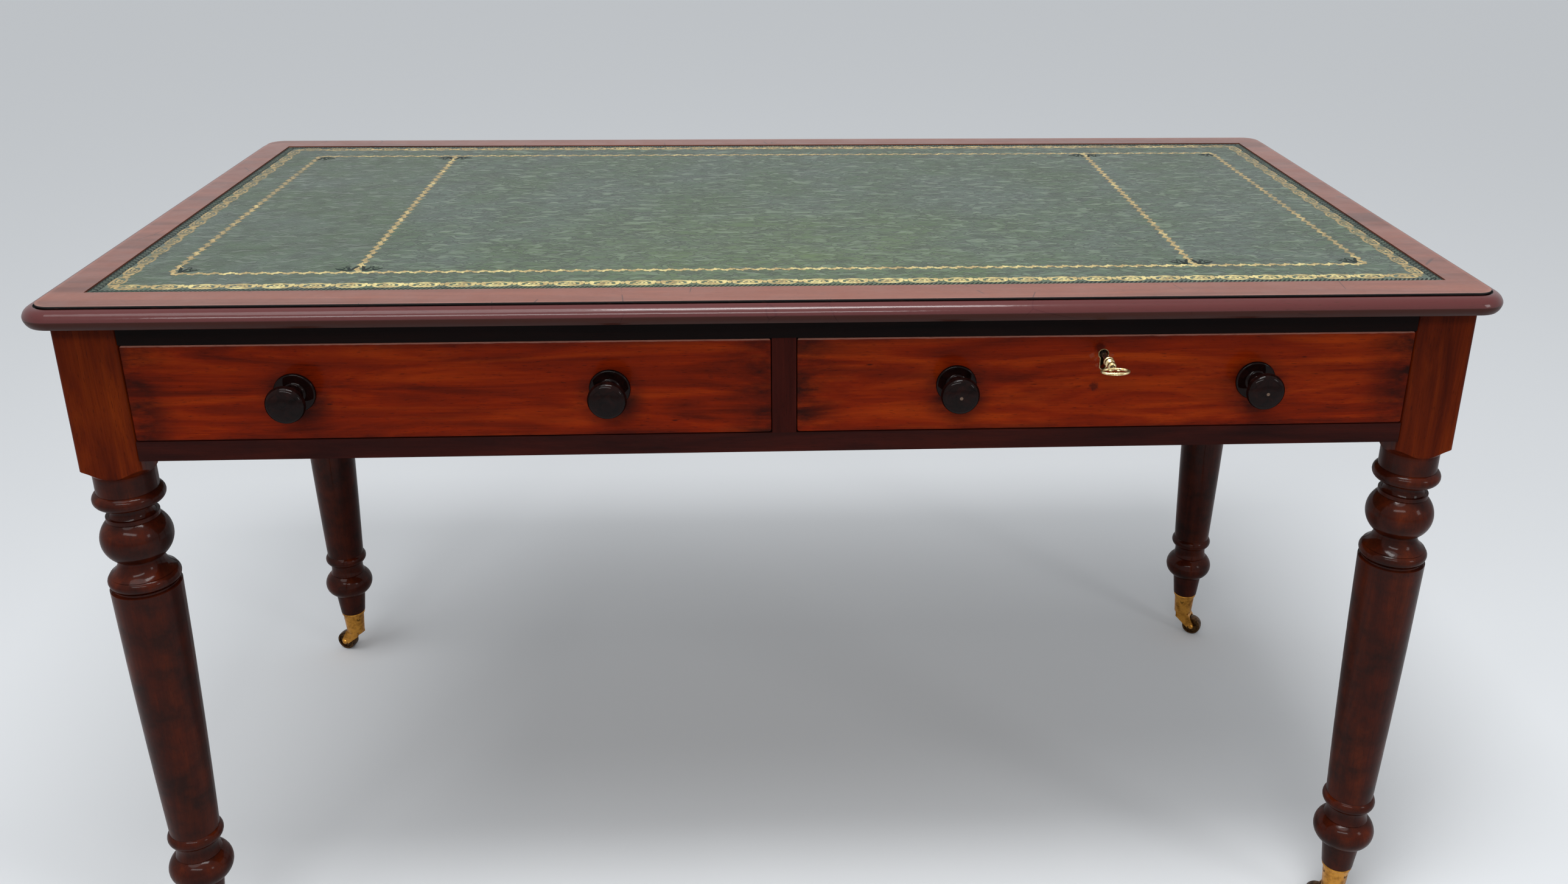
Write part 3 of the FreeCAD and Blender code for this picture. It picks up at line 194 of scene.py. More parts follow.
# scars: how far across and up from the keyhole's middle, how wide, and which colour
frontLook = {
    "knobGrimeNear": 16 * mm, "knobGrimeFar": 40 * mm, "knobGrime": 0.85,
    "edgeWide": (60 * mm, 9 * mm), "edgeShadeDepth": {"x": 0.95, "z": 0.5},
    # The dark colour serves painted shade at ends and edges as well as dirt and knocks; the pale one is the top edge's
    # painted highlight, partly wear.
    "grimeAndShade": "#1d0906", "paleTopEdge": "#9a6a5c", "knockMm": 16,
    "bare": "#8c4430", "stain": "#1d0d0c",
    "scars": ((-11 * mm, 4 * mm, 3.4 * mm, "bare"), (-7 * mm, 1 * mm, 2.6 * mm, "bare"),
              (-6 * mm, -6 * mm, 2.4 * mm, "bare"), (8 * mm, 4 * mm, 2.6 * mm, "bare"),
              (-4 * mm, 12 * mm, 7 * mm, "stain"), (-7 * mm, -28 * mm, 6 * mm, "stain")),
}


# Darkening on a drawer front: dirt round the knobs where hands go, and painted shade at both ends
# and along its edges, all broken up by a slow noise so that no edge of it is even. The top edge gets a
# pale line, partly painted highlight on the arris and partly wear.
def frontShadeAndWear(drawer):
    def shadeAndWear(tree, position, colour, coat):
        look = frontLook
        # Painted shade at the front's ends and top and bottom edges, where it meets legs, stile and rails, and dirt
        # round the knobs.
        grimeAndShade = paintedEdgeShade(tree, position, drawer + "_front", look["edgeShadeDepth"], look["edgeWide"])
        low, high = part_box(drawer + "_front")
        for side in ("left", "right"):
            foot = nodeMiddle("{}_knob_{}".format(drawer, side))
            foot[1] = low.y
            foot[2] -= 8 * mm
            spot = spotGrime(tree, position, foot, look["knobGrimeNear"], look["knobGrimeFar"], look["knobGrime"])
            grimeAndShade = addNode(tree, "Math", {0: grimeAndShade, 1: spot}, operation="MAXIMUM")
        drawn = addNode(tree, "Mapping", {"Vector": position, "Scale": alongFibres("x", 2.5)})
        breakUp = addNode(tree, "TexNoise", {"Vector": drawn, "Scale": 1 / (22 * mm), "Detail": 5, "Roughness": 0.65})
        share = addNode(tree, "MapRange", {
            "Value": breakUp, "From Min": 0.3, "From Max": 0.6, "To Min": 0, "To Max": 1})
        grimeAndShade = addNode(tree, "Math", {0: grimeAndShade, 1: share}, operation="MULTIPLY")
        colour = addNode(tree, "MixRGB", {"Fac": grimeAndShade, "Color1": colour, "Color2": linearColour(look["grimeAndShade"])})
        # A pale line along the top edge: painted highlight on the arris, partly wear.
        rough = addNode(tree, "TexNoise", {"Vector": position, "Scale": 1 / (11 * mm), "Detail": 4})
        level = addNode(tree, "SeparateXYZ", {"Vector": position}).node.outputs[2]
        uneven = addNode(tree, "Math", {0: rough, 1: 1.2 * mm, 2: level}, operation="MULTIPLY_ADD")
        paleTopEdge = addNode(tree, "MapRange", {
            "Value": uneven, "From Min": high.z - 0.9 * mm, "From Max": high.z, "To Min": 0, "To Max": 0.85})
        colour = addNode(tree, "MixRGB", {"Fac": paleTopEdge, "Color1": colour, "Color2": linearColour(look["paleTopEdge"])})
        return bruises(tree, position, colour, drawer), coat
    return shadeAndWear


# Small knocks with polish gone black in them, and by the keyhole splintered places that show bare wood.
def bruises(tree, position, colour, drawer):
    look = frontLook
    slant = addNode(tree, "Mapping", {"Vector": position, "Rotation": (0, 0.5, 0), "Scale": (0.3, 1, 1)})
    knock = addNode(tree, "TexVoronoi", {"Vector": slant, "Scale": 1 / (look["knockMm"] * mm), "Randomness": 1})
    dot = addNode(tree, "MapRange", {"Value": knock, "From Min": 0.03, "From Max": 0.07, "To Min": 0.7, "To Max": 0})
    colour = addNode(tree, "MixRGB", {"Fac": dot, "Color1": colour, "Color2": linearColour(look["grimeAndShade"])})
    if drawer == "drawer_right":
        keyhole = nodeMiddle("escutcheon")
        keyhole[1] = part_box("drawer_right_front")[0].y
        for across, up, reach, tint in look["scars"]:
            place = [keyhole[0] + across, keyhole[1], keyhole[2] + up]
            ragged = addNode(tree, "TexNoise", {"Vector": position, "Scale": 1 / (2.6 * mm), "Detail": 3}, out=1)
            moved = addNode(tree, "VectorMath", {0: ragged, 1: [6 * mm] * 3, 2: position}, operation="MULTIPLY_ADD")
            place = [value + 3 * mm for value in place]
            scar = spotGrime(tree, moved, place, reach * 0.4, reach, 0.65)
            colour = addNode(tree, "MixRGB", {"Fac": scar, "Color1": colour, "Color2": linearColour(look[tint])})
    return colour


# The turned part of a leg is painted darker than its square block: partly painted shade under the
# table and partly a darker finish.
def legShadeAndWear(tree, position, colour, coat):
    height = addNode(tree, "SeparateXYZ", {"Vector": position}).node.outputs[2]
    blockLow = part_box("front_bottom_rail")[0].z - 19 * mm
    # Below the block: partly painted shade under the table, partly a darker finish.
    dark = addNode(tree, "MapRange", {
        "Value": height, "From Min": blockLow - 4 * mm, "From Max": blockLow + 4 * mm, "To Min": 0.72, "To Max": 0},
        interpolation_type="SMOOTHSTEP")
    cloud = addNode(tree, "TexNoise", {"Vector": position, "Scale": 1 / (30 * mm), "Detail": 5, "Roughness": 0.65})
    worn = addNode(tree, "MapRange", {"Value": cloud, "From Min": 0.35, "From Max": 0.65, "To Min": 1.25, "To Max": 0.7})
    dark = addNode(tree, "Math", {0: dark, 1: worn}, operation="MULTIPLY", use_clamp=True)
    coat = addNode(tree, "MapRange", {
        "Value": height, "From Min": blockLow - 4 * mm, "From Max": blockLow, "To Min": coat, "To Max": 0.06})
    colour = addNode(tree, "MixRGB", {"Fac": dark, "Color1": colour, "Color2": linearColour("#1e0c08")})
    return colour, coat


topLook = {
    # The roll colour is painted shade on the downward-facing roll; the quirk colour is painted shade in the groove.
    "nosingWide": 12 * mm, "fieldCorner": 18 * mm, "quirkWide": 1.6 * mm, "nosing": "#4d1c20", "roll": "#300c06",
    "quirk": "#070404", "scratch": "#3a1d16", "worn": "#9a6656", "rollBelow": 11 * mm,
}


# The top's marks: painted shade as a black line in the quirk round the flat field, a darker nosing
# with painted shade on the downward-facing roll under it, a paler rubbed line where the field ends,
# and a few fine scratches.
def topShadeAndWear(tree, position, colour, coat):
    look = topLook
    low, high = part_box("top_board")
    middle = [(low.x + high.x) / 2, (low.y + high.y) / 2, high.z]
    inset = look["nosingWide"] + look["fieldCorner"]
    reach = [high.x - middle[0] - inset, high.y - middle[1] - inset, 0]
    shifted = addNode(tree, "VectorMath", {0: position, 1: middle}, operation="SUBTRACT")
    flat = addNode(tree, "VectorMath", {0: shifted, 1: (1, 1, 0)}, operation="MULTIPLY")
    folded = addNode(tree, "VectorMath", {0: flat}, operation="ABSOLUTE")
    past = addNode(tree, "VectorMath", {0: folded, 1: reach}, operation="SUBTRACT")
    past = addNode(tree, "VectorMath", {0: past, 1: (0, 0, 0)}, operation="MAXIMUM")
    away = addNode(tree, "VectorMath", {0: past}, out=1, operation="LENGTH")
    edge = look["fieldCorner"]
    worn = addNode(tree, "MapRange", {
        "Value": away, "From Min": edge - 4 * mm, "From Max": edge - 0.5 * mm, "To Min": 0, "To Max": 0.45})
    colour = addNode(tree, "MixRGB", {"Fac": worn, "Color1": colour, "Color2": linearColour(look["worn"])})
    cells = addNode(tree, "Mapping", {"Vector": position, "Rotation": (0, 0, 0.5), "Scale": (1, 0.5, 1)})
    lines = addNode(tree, "TexVoronoi", {"Vector": cells, "Scale": 1 / (70 * mm)}, feature="DISTANCE_TO_EDGE")
    thin = addNode(tree, "MapRange", {"Value": lines, "From Min": 0.003, "From Max": 0.009, "To Min": 1, "To Max": 0})
    some = addNode(tree, "TexNoise", {"Vector": position, "Scale": 1 / (45 * mm), "Detail": 2})
    some = addNode(tree, "MapRange", {"Value": some, "From Min": 0.58, "From Max": 0.62, "To Min": 0, "To Max": 0.8})
    thin = addNode(tree, "Math", {0: thin, 1: some}, operation="MULTIPLY")
    colour = addNode(tree, "MixRGB", {"Fac": thin, "Color1": colour, "Color2": linearColour(look["scratch"])})
    # Below the nosing's widest point the roll faces down: its darker colour there is painted shade.
    height = addNode(tree, "SeparateXYZ", {"Vector": position}).node.outputs[2]
    under = addNode(tree, "MapRange", {
        "Value": height, "From Min": high.z - look["rollBelow"] - 1 * mm, "From Max": high.z - look["rollBelow"],
        "To Min": 1, "To Max": 0})
    roll = addNode(tree, "MixRGB", {
        "Fac": under, "Color1": linearColour(look["nosing"]), "Color2": linearColour(look["roll"])})
    onNosing = addNode(tree, "MapRange", {
        "Value": away, "From Min": edge, "From Max": edge + 0.2 * mm, "To Min": 0, "To Max": 0.9})
    colour = addNode(tree, "MixRGB", {"Fac": onNosing, "Color1": colour, "Color2": roll})
    # The quirk and the wall above it are painted near black: painted shade in the groove.
    start = addNode(tree, "MapRange", {
        "Value": away, "From Min": edge - 0.3 * mm, "From Max": edge - 0.1 * mm, "To Min": 0, "To Max": 1})
    end = addNode(tree, "MapRange", {
        "Value": away, "From Min": edge + look["quirkWide"], "From Max": edge + look["quirkWide"] + 0.5 * mm,
        "To Min": 1, "To Max": 0})
    groove = addNode(tree, "Math", {0: start, 1: end}, operation="MULTIPLY")
    colour = addNode(tree, "MixRGB", {"Fac": groove, "Color1": colour, "Color2": linearColour(look["quirk"])})
    coat = addNode(tree, "MapRange", {"Value": under, "To Min": coat, "To Max": 0.12})
    return colour, coat


# The pegs that hold the right-hand drawer's knobs end flush in the middle of each, as a pale dot.
def knobWear(tree, position, colour, coat):
    for side in ("left", "right"):
        peg = nodeMiddle("drawer_right_knob_" + side)
        peg[1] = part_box("drawer_right_knob_" + side)[0].y
        dot = spotGrime(tree, position, peg, 1.2 * mm, 1.9 * mm, 0.8)
        colour = addNode(tree, "MixRGB", {"Fac": dot, "Color1": colour, "Color2": linearColour("#7c6658")})
    return colour, coat


def makeWoods():
    top = dict(boardLook, dark="#5b2e20", body="#754030", light="#874c39", stainColour="#3e2018",
               figureMm=40, figureStretch=14, fibreDepth=0.12, stain=0.25, rough=0.4, specular=0.1,
               coat=0.5, coatRough=0.1, relief=0.3)
    giveMaterial(polishedMahogany("polished_mahogany_top", top, topShadeAndWear), "top_board")
    for index, drawer in enumerate(("drawer_left", "drawer_right")):
        look = dict(boardLook, offset=(0.31 * index, 0.17 * index, 0.053 * index), lean=(0, 0.03, 0),
                    dark="#571505", body="#7f2104", light="#a03809", figureMm=26, curl=1.3,
                    specular=0.03, coat=0.07, stain=0.55, stainMm=45)
        wood = polishedMahogany("polished_mahogany_" + drawer, look, frontShadeAndWear(drawer))
        giveMaterial(wood, drawer + "_front")
    # The front top rail is painted near black: painted shade of the top's overhang above it.
    dark = dict(boardLook, dark="#080404", body="#100706", light="#190b09", stain=0.4, fibreDepth=0.18,
                specular=0.03, coat=0.04)
    giveMaterial(polishedMahogany("mahogany_rail_painted_shade", dark), "front_top_rail")
    stile = dict(dark, along="z", dark="#240a07", body="#38110c", light="#471810")
    giveMaterial(polishedMahogany("stained_mahogany_stile", stile), "centre_stile")
    rail = dict(boardLook, dark="#1a0706", body="#2e0e0a", light="#40150e", stain=0.5, specular=0.04, coat=0.06)
    giveMaterial(polishedMahogany("stained_mahogany_bottom_rail", rail), "front_bottom_rail")
    apron = dict(boardLook, along="y", dark="#401205", body="#66220a", light="#7c300f")
    giveMaterial(polishedMahogany("polished_mahogany_side", apron), "side_apron_left", "side_apron_right")
    back = dict(apron, along="x", offset=(0.4, 0, 0))
    giveMaterial(polishedMahogany("polished_mahogany_back", back), "back_apron")
    turned = dict(boardLook, along="z", dark="#451305", body="#5e1e06", light="#7a2e08", figureMm=24,
                  stain=0.35, rough=0.34, specular=0.02, coat=0.19, coatRough=0.1)
    legs = ["leg_" + corner for corner in ("front_left", "front_right", "back_left", "back_right")]
    giveMaterial(polishedMahogany("polished_mahogany_turned", turned, legShadeAndWear), *legs)
    knob = dict(boardLook, along="y", dark="#0a0403", body="#140807", light="#200c09", figureMm=9,
                figureStretch=3, rough=0.3, specular=0.0, coat=0.2, coatRough=0.04, fibreDepth=0.15, stain=0.3)
    knobs = ["drawer_{}_knob_{}".format(a, b) for a in ("left", "right") for b in ("left", "right")]
    giveMaterial(polishedMahogany("ebonised_mahogany_knob", knob, knobWear), *knobs)


# Oak lining, quartered and unpolished: pale, dull, with close straight fibre and darker handling.
def oakLining():
    look = dict(boardLook, along="y", dark="#8d6a41", body="#a8824f", light="#bf9a64",
                stainColour="#6b4c2b", figureMm=14, stain=0.3, rough=0.6, coat=0.0, coatRough=0.4)
    names = ["drawer_{}_{}".format(drawer, part) for drawer in ("left", "right")
             for part in ("side_left", "side_right", "bottom")]
    giveMaterial(polishedMahogany("unpolished_oak_lining", look), *names)
    across = dict(look, along="x")
    giveMaterial(polishedMahogany("unpolished_oak_back", across), "drawer_left_back", "drawer_right_back")


# Sawn pine for the carcase's inner parts: yellowed, matt and dusty.
def pineCarcase():
    look = dict(boardLook, along="y", dark="#8a6236", body="#a67c48", light="#bd9558",
                stainColour="#5c3f22", figureMm=22, stain=0.4, rough=0.72, coat=0.0, coatRough=0.5)
    names = ["{}_{}".format(part, side) for part in ("runner", "guide", "kicker")
             for side in ("left", "centre", "right")]
    giveMaterial(polishedMahogany("sawn_pine_runner", look), *names)
    giveMaterial(polishedMahogany("sawn_pine_block", dict(look, along="x")), "glue_blocks", "drawer_stops")


metalLook = {
    "castor_brass": {"bright": "#c48a3c", "dull": "#8a5c24", "rough": 0.3, "spotMm": 12},
    "wheel_bronze": {"bright": "#5a4026", "dull": "#1f140c", "rough": 0.34, "spotMm": 4},
    "key_brass": {"bright": "#e6d3a4", "dull": "#a88c5c", "rough": 0.24, "spotMm": 3},
    "lock_brass": {"bright": "#a08a64", "dull": "#54442c", "rough": 0.36, "spotMm": 6},
    "key_steel": {"bright": "#8d867c", "dull": "#3a332d", "rough": 0.36, "spotMm": 3},
    "screw_brass": {"bright": "#94682e", "dull": "#2e1c0e", "rough": 0.4, "spotMm": 3},
    "screw_steel": {"bright": "#7a746c", "dull": "#2f2924", "rough": 0.42, "spotMm": 2},
}


# Cast or turned metal gone dull in patches: bright where it is rubbed, brown and rougher elsewhere.
def agedMetal(name, look):
    material, tree = newMaterial("aged_" + name)
    position = addNode(tree, "TexCoord", out="Object")
    patch = addNode(tree, "TexNoise", {
        "Vector": position, "Scale": 1 / (look["spotMm"] * mm), "Detail": 5, "Roughness": 0.65})
    colour = addNode(tree, "ValToRGB", {"Fac": patch}, ramp=[(0.36, look["dull"]), (0.56, look["bright"])])
    rough = addNode(tree, "MapRange", {
        "Value": patch, "From Min": 0.35, "From Max": 0.65,
        "To Min": look["rough"] + 0.2, "To Max": look["rough"] - 0.04})
    grit = addNode(tree, "TexNoise", {"Vector": position, "Scale": 1 / (0.7 * mm), "Detail": 3})
    bump = addNode(tree, "Bump", {"Height": grit, "Strength": 0.2, "Distance": 0.05 * mm})
    finish(tree, {"Base Color": colour, "Metallic": 1, "Roughness": rough, "Normal": bump})
    return material


def makeMetals():
    metals = {name: agedMetal(name, look) for name, look in metalLook.items()}
    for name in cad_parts:
        if name.startswith(("castor_cup", "castor_yoke")):
            giveMaterial(metals["castor_brass"], name)
        if name.startswith("castor_wheel"):
            giveMaterial(metals["wheel_bronze"], name)
    giveMaterial(metals["screw_steel"], "top_screws", "lock_screws")
    giveMaterial(metals["screw_brass"], "castor_screws")
    giveMaterial(metals["lock_brass"], "lock_case", "escutcheon", "lock_bolt")
    giveMaterial(metals["key_brass"], "key_bow")
    giveMaterial(metals["key_steel"], "key_shank")
    makeKeyDetail(metals["key_brass"])


def meshFrom(name, corners, faces):
    mesh = bpy.data.meshes.new(name)
    mesh.from_pydata(corners.reshape(-1, 3).tolist(), [], faces.reshape(-1, faces.shape[-1]).tolist())
    mesh.update()
    piece = bpy.data.objects.new(name, mesh)
    bpy.context.scene.collection.objects.link(piece)
    return piece


# Four corners for each cell of a grid that is rows by columns, numbered row by row.
def gridFaces(rows, columns):
    first = np.arange(rows - 1)[:, None] * columns + np.arange(columns - 1)
    return np.stack([first, first + 1, first + columns + 1, first + columns], axis=-1).reshape(-1, 4)


def addPiece(piece, body, material):
    piece.data.materials.append(material)
    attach(piece, body)
    return piece


# A tube along a line: at each point a ring of its own radius stands square to the way the line runs,
# centre + r (cos u side + sin u above). Its ends are left open.
def tubeAlong(name, line, radii, above, around=16):
    heading = np.gradient(line, axis=0)
    heading /= np.linalg.norm(heading, axis=1, keepdims=True)
    side = np.cross(heading, above)
    side /= np.linalg.norm(side, axis=1, keepdims=True)
    lift = np.cross(side, heading)
    u = np.arange(around) * 2 * np.pi / around
    ring = np.cos(u)[None, :, None] * side[:, None] + np.sin(u)[None, :, None] * lift[:, None]
    corners = line[:, None] + radii[:, None, None] * ring
    first = np.arange(len(line) - 1)[:, None] * around + np.arange(around)
    beside = np.arange(len(line) - 1)[:, None] * around + (np.arange(around) + 1) % around
    walls = np.stack([first, first + around, beside + around, beside], axis=-1)
    piece = meshFrom(name, corners, walls)
    for face in piece.data.polygons:
        face.use_smooth = True
    return piece


keyLook = {"barThick": 1.75 * mm, "barSpan": 0.62, "curl": 1.9 * mm, "curlWire": 0.85 * mm, "notch": 0.35 * mm}


# The bow's cast detail: its front swells to a thick bar with two notches, and two scrolls curl in from
# the ball to meet the ring. The bar follows the ring's ellipse, and each scroll is a spiral.
def makeKeyDetail(brass):
    look = keyLook
    low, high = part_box("key_bow")
    wide = (high.x - low.x) / 2 - look["curlWire"]
    deep = 6.6 * mm
    centre = np.array([(low.x + high.x) / 2, low.y + 1.25 * mm + deep, (low.z + high.z) / 2])
    above = np.array([0, 0, 1])
    t = np.linspace(-look["barSpan"], look["barSpan"], 33) * np.pi / 2
    bar = centre + np.stack([wide * np.sin(t), -deep * np.cos(t), 0 * t], axis=-1)
    swell = np.cos(t / look["barSpan"]) ** 0.5
    notches = np.exp(-((np.abs(t) - 0.09) / 0.03) ** 2) * look["notch"]
    bar[:, 1] += (look["barThick"] - 1.25 * mm) * swell
    radii = 0.02 * mm + (look["barThick"] - 0.02 * mm) * swell - notches
    pieces = [tubeAlong("key_bow_bar", bar, radii, above)]
    for side, name in ((-1, "key_scroll_left"), (1, "key_scroll_right")):
        turn = np.linspace(0, 1, 29)
        reach = look["curl"] * (1.25 - turn)
        angle = 0.5 * np.pi + turn * 2.4 * np.pi
        root = centre + np.array([side * 3.4 * mm, deep - 2.6 * mm, 0])
        curl = root + np.stack([-side * reach * np.cos(angle), reach * np.sin(angle), 0 * turn], axis=-1)
        pieces.append(tubeAlong(name, curl, look["curlWire"] * (1.02 - turn ** 6) * (1 - 0.5 * turn), above, 12))
    for piece in pieces:
        addPiece(piece, "key", brass)


# Value noise: random heights on a square lattice, blended by the smooth step 3t2 - 2t3 between them.
def lumps(x, y, seed):
    column, row = np.floor(x).astype(int), np.floor(y).astype(int)
    lattice = np.random.default_rng(seed).random((column.max() - column.min() + 2, row.max() - row.min() + 2))
    u, v = x - column, y - row
    u, v = u * u * (3 - 2 * u), v * v * (3 - 2 * v)
    i, j = column - column.min(), row - row.min()
    near = lattice[i, j] * (1 - u) + lattice[i + 1, j] * u
    far = lattice[i, j + 1] * (1 - u) + lattice[i + 1, j + 1] * u
    return near * (1 - v) + far * v


leatherLook = {
    "cell": 3.2 * mm, "wrinkle": 0.26 * mm, "hollow": 0.3 * mm,
    "wrinkleLong": 20 * mm, "wrinkleWide": 8 * mm, "outerInset": 17 * mm, "innerInset": 56 * mm,
    "divider": 411 * mm, "bandHalf": 8 * mm, "turnDown": 0.5 * mm,
    # The crease colour is painted shade in the wrinkles' creases, and the ridge colour a painted highlight on their
    # ridges.
    "green": "#3a4f35", "grey": "#46564a", "crease": "#0f1812", "olive": "#536832", "ridgeHighlightColour": "#5c7152",
    "streakMm": 8.5, "rough": 0.4,
}


# How far in from the leather's edge a point lies, and so which tooled band it is on.
def insetOf(x, y, low, high):
    return np.minimum(np.minimum(x - low.x, high.x - x), np.minimum(y - low.y, high.y - y))


# The surface is its box's top less a relief: wrinkles are one less the folded difference of two
# lattice noises drawn out along X, flat under the tooled lines, and a slow hollow over all of it.
def leatherSurface():
    look = leatherLook
    low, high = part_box("leather_skiver")
    columns = int((high.x - low.x) / look["cell"]) + 1
    rows = int((high.y - low.y) / look["cell"]) + 1
    x, y = np.meshgrid(np.linspace(low.x, high.x, columns), np.linspace(low.y, high.y, rows))
    warp = lumps(x / 0.05, y / 0.05, 3) * 1.6
    across, along = y / look["wrinkleWide"], x / look["wrinkleLong"]
    folds = np.abs(lumps(along + warp, across, 5) - lumps(along + 0.5, across + warp, 7))
    small = np.abs(lumps(along * 2.1, across * 1.9, 11) - 0.5)
    mottle = lumps(x / 0.011, y / 0.011, 13)
    leftPanel = np.clip((-look["divider"] - x) / (10 * mm) + 0.5, 0, 1)
    relief = (0.65 * (1 - 2 * folds) + 0.35 * (1 - 2 * small)) * (1 - leftPanel) + mottle * leftPanel * 0.7
    inset = insetOf(x, y, low, high)
    lines = [np.abs(inset - look["outerInset"]), np.abs(inset - look["innerInset"])]
    lines.append(np.where(inset > look["innerInset"], np.abs(np.abs(x) - look["divider"]), 1))
    nearest = np.minimum.reduce(lines) - look["bandHalf"]
    clear = np.clip(nearest / look["bandHalf"], 0, 1)
    clear *= np.where(inset < look["innerInset"], 0.35, 1)
    slow = lumps(x / 0.16, y / 0.12, 17)
    drop = look["wrinkle"] * (1 - relief * clear) * 0.5 + look["hollow"] * slow * np.clip(nearest / 0.1, 0, 1)
    z = high.z - drop - look["turnDown"] * (inset < look["cell"] * 0.5)
    piece = meshFrom("leather_lining", np.stack([x, y, z], axis=-1), gridFaces(rows, columns))
    depth = piece.data.attributes.new("crease", "FLOAT", "POINT")
    depth.data.foreach_set("value", (1 - relief).astype(np.float32).ravel())
    for face in piece.data.polygons:
        face.use_smooth = True
    return piece


# Hide leather, dyed green and waxed: a fine pebble between soft creases, greyer where it is rubbed,
# greener and warmer near the front edge, with painted shade in the creases and a painted highlight
# on the wrinkle ridges.
def greenLeather():
    look = leatherLook
    material, tree = newMaterial("waxed_green_hide")
    low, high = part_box("leather_skiver")
    position = addNode(tree, "TexCoord", out="Object")
    crease = addNode(tree, "Attribute", out="Fac", attribute_name="crease")
    cloud = addNode(tree, "TexNoise", {"Vector": position, "Scale": 1 / (90 * mm), "Detail": 5, "Roughness": 0.6})
    colour = addNode(tree, "ValToRGB", {"Fac": cloud}, ramp=[(0.36, look["green"]), (0.64, look["grey"])])
    middle = [(low.x + high.x) / 2, low.y, high.z]
    warm = spotGrime(tree, position, middle, 60 * mm, 420 * mm, 0.75)
    patch = addNode(tree, "TexNoise", {"Vector": position, "Scale": 1 / (55 * mm), "Detail": 4})
    warm = addNode(tree, "Math", {0: warm, 1: patch}, operation="MULTIPLY")
    colour = addNode(tree, "MixRGB", {"Fac": warm, "Color1": colour, "Color2": linearColour(look["olive"])})
    streaks = addNode(tree, "Mapping", {"Vector": position, "Scale": (0.4, 1, 1)})
    fine = addNode(tree, "TexNoise", {
        "Vector": streaks, "Scale": 1 / (look["streakMm"] * mm), "Detail": 3, "Roughness": 0.5, "Distortion": 1.1})
    across = addNode(tree, "SeparateXYZ", {"Vector": position}).node.outputs[0]
    rough = addNode(tree, "MapRange", {
        "Value": across, "From Min": -look["divider"] - 20 * mm, "From Max": -look["divider"] + 20 * mm,
        "To Min": 0.4, "To Max": 1})
    line = addNode(tree, "Math", {0: fine, 1: 0.5}, operation="SUBTRACT")
    line = addNode(tree, "Math", {0: line}, operation="ABSOLUTE")
    valley = addNode(tree, "MapRange", {"Value": line, "From Min": 0, "From Max": 0.05, "To Min": 0.75, "To Max": 0})
    # Dark lines in the wrinkle valleys and deep folds: painted shade in the creases.
    creaseShade = addNode(tree, "Math", {0: valley, 1: rough}, operation="MULTIPLY")
    fold = addNode(tree, "MapRange", {"Value": crease, "From Min": 0.45, "From Max": 0.95, "To Min": 0, "To Max": 0.5})
    creaseShade = addNode(tree, "Math", {0: creaseShade, 1: fold}, operation="MAXIMUM")
    colour = addNode(tree, "MixRGB", {"Fac": creaseShade, "Color1": colour, "Color2": linearColour(look["crease"])})
    # Lighter wrinkle crests: a painted highlight.
    ridgeHighlight = addNode(tree, "MapRange", {"Value": fine, "From Min": 0.54, "From Max": 0.68, "To Min": 0, "To Max": 0.45})
    ridgeHighlight = addNode(tree, "Math", {0: ridgeHighlight, 1: rough}, operation="MULTIPLY")
    colour = addNode(tree, "MixRGB", {"Fac": ridgeHighlight, "Color1": colour, "Color2": linearColour(look["ridgeHighlightColour"])})
    pebble = addNode(tree, "TexVoronoi", {"Vector": position, "Scale": 1 / (1.6 * mm)})
    gloss = addNode(tree, "MapRange", {
        "Value": fine, "From Min": 0.3, "From Max": 0.7, "To Min": look["rough"] + 0.12, "To Max": look["rough"] - 0.1})
    grain = addNode(tree, "Bump", {"Height": pebble, "Strength": 0.25, "Distance": 0.1 * mm})
    groove = addNode(tree, "MapRange", {"Value": line, "From Min": 0, "From Max": 0.07, "To Min": 0, "To Max": 1})
    cut = addNode(tree, "Bump", {"Height": groove, "Strength": 1, "Distance": 0.5 * mm, "Normal": grain})
    bump = addNode(tree, "Bump", {"Height": fine, "Strength": 1, "Distance": 1.7 * mm, "Normal": cut})
    finish(tree, {
        "Base Color": colour, "Roughness": gloss, "IOR": 1.5, "Normal": bump, "Specular IOR Level": 0.3,
        "Sheen Weight": 0.12, "Sheen Roughness": 0.5})
    return material


toolLook = {
    "outerLong": 34 * mm, "innerLong": 15 * mm, "innerHalf": 3.6 * mm,
    "leaf": 0.08 * mm, "step": 0.006 * mm, "bed": 0.02 * mm, "sprigDeep": 0.25 * mm,
    "bright": "#f4e39a", "mellow": "#b89c64", "bare": "#6c6440",
}


# A stroke is a line of points with a width at each; tapered gives widths that swell in the middle.
def tapered(count, widest, ends=0.15):
    t = np.linspace(0, 1, count)
    return widest * (ends + (1 - ends) * np.sin(np.pi * t) ** 0.7)


# A spiral about a point: the radius falls evenly as the angle winds on.
def spiral(centre, radius, start, turns, count, hand=1):
    t = np.linspace(0, 1, count)
    angle = start + hand * turns * 2 * np.pi * t
    reach = radius * (1 - 0.8 * t)
    return np.stack([centre[0] + reach * np.cos(angle), centre[1] + reach * np.sin(angle)], axis=-1)


# A leaf from a point, leaning by an angle: a short arc, so its tip curls over.
def leafLine(start, angle, length, curl, count=5):
    t = np.linspace(0, 1, count)
    heading = angle + curl * t
    return np.stack([start[0] + length * t * np.cos(heading), start[1] + length * t * np.sin(heading)], axis=-1)


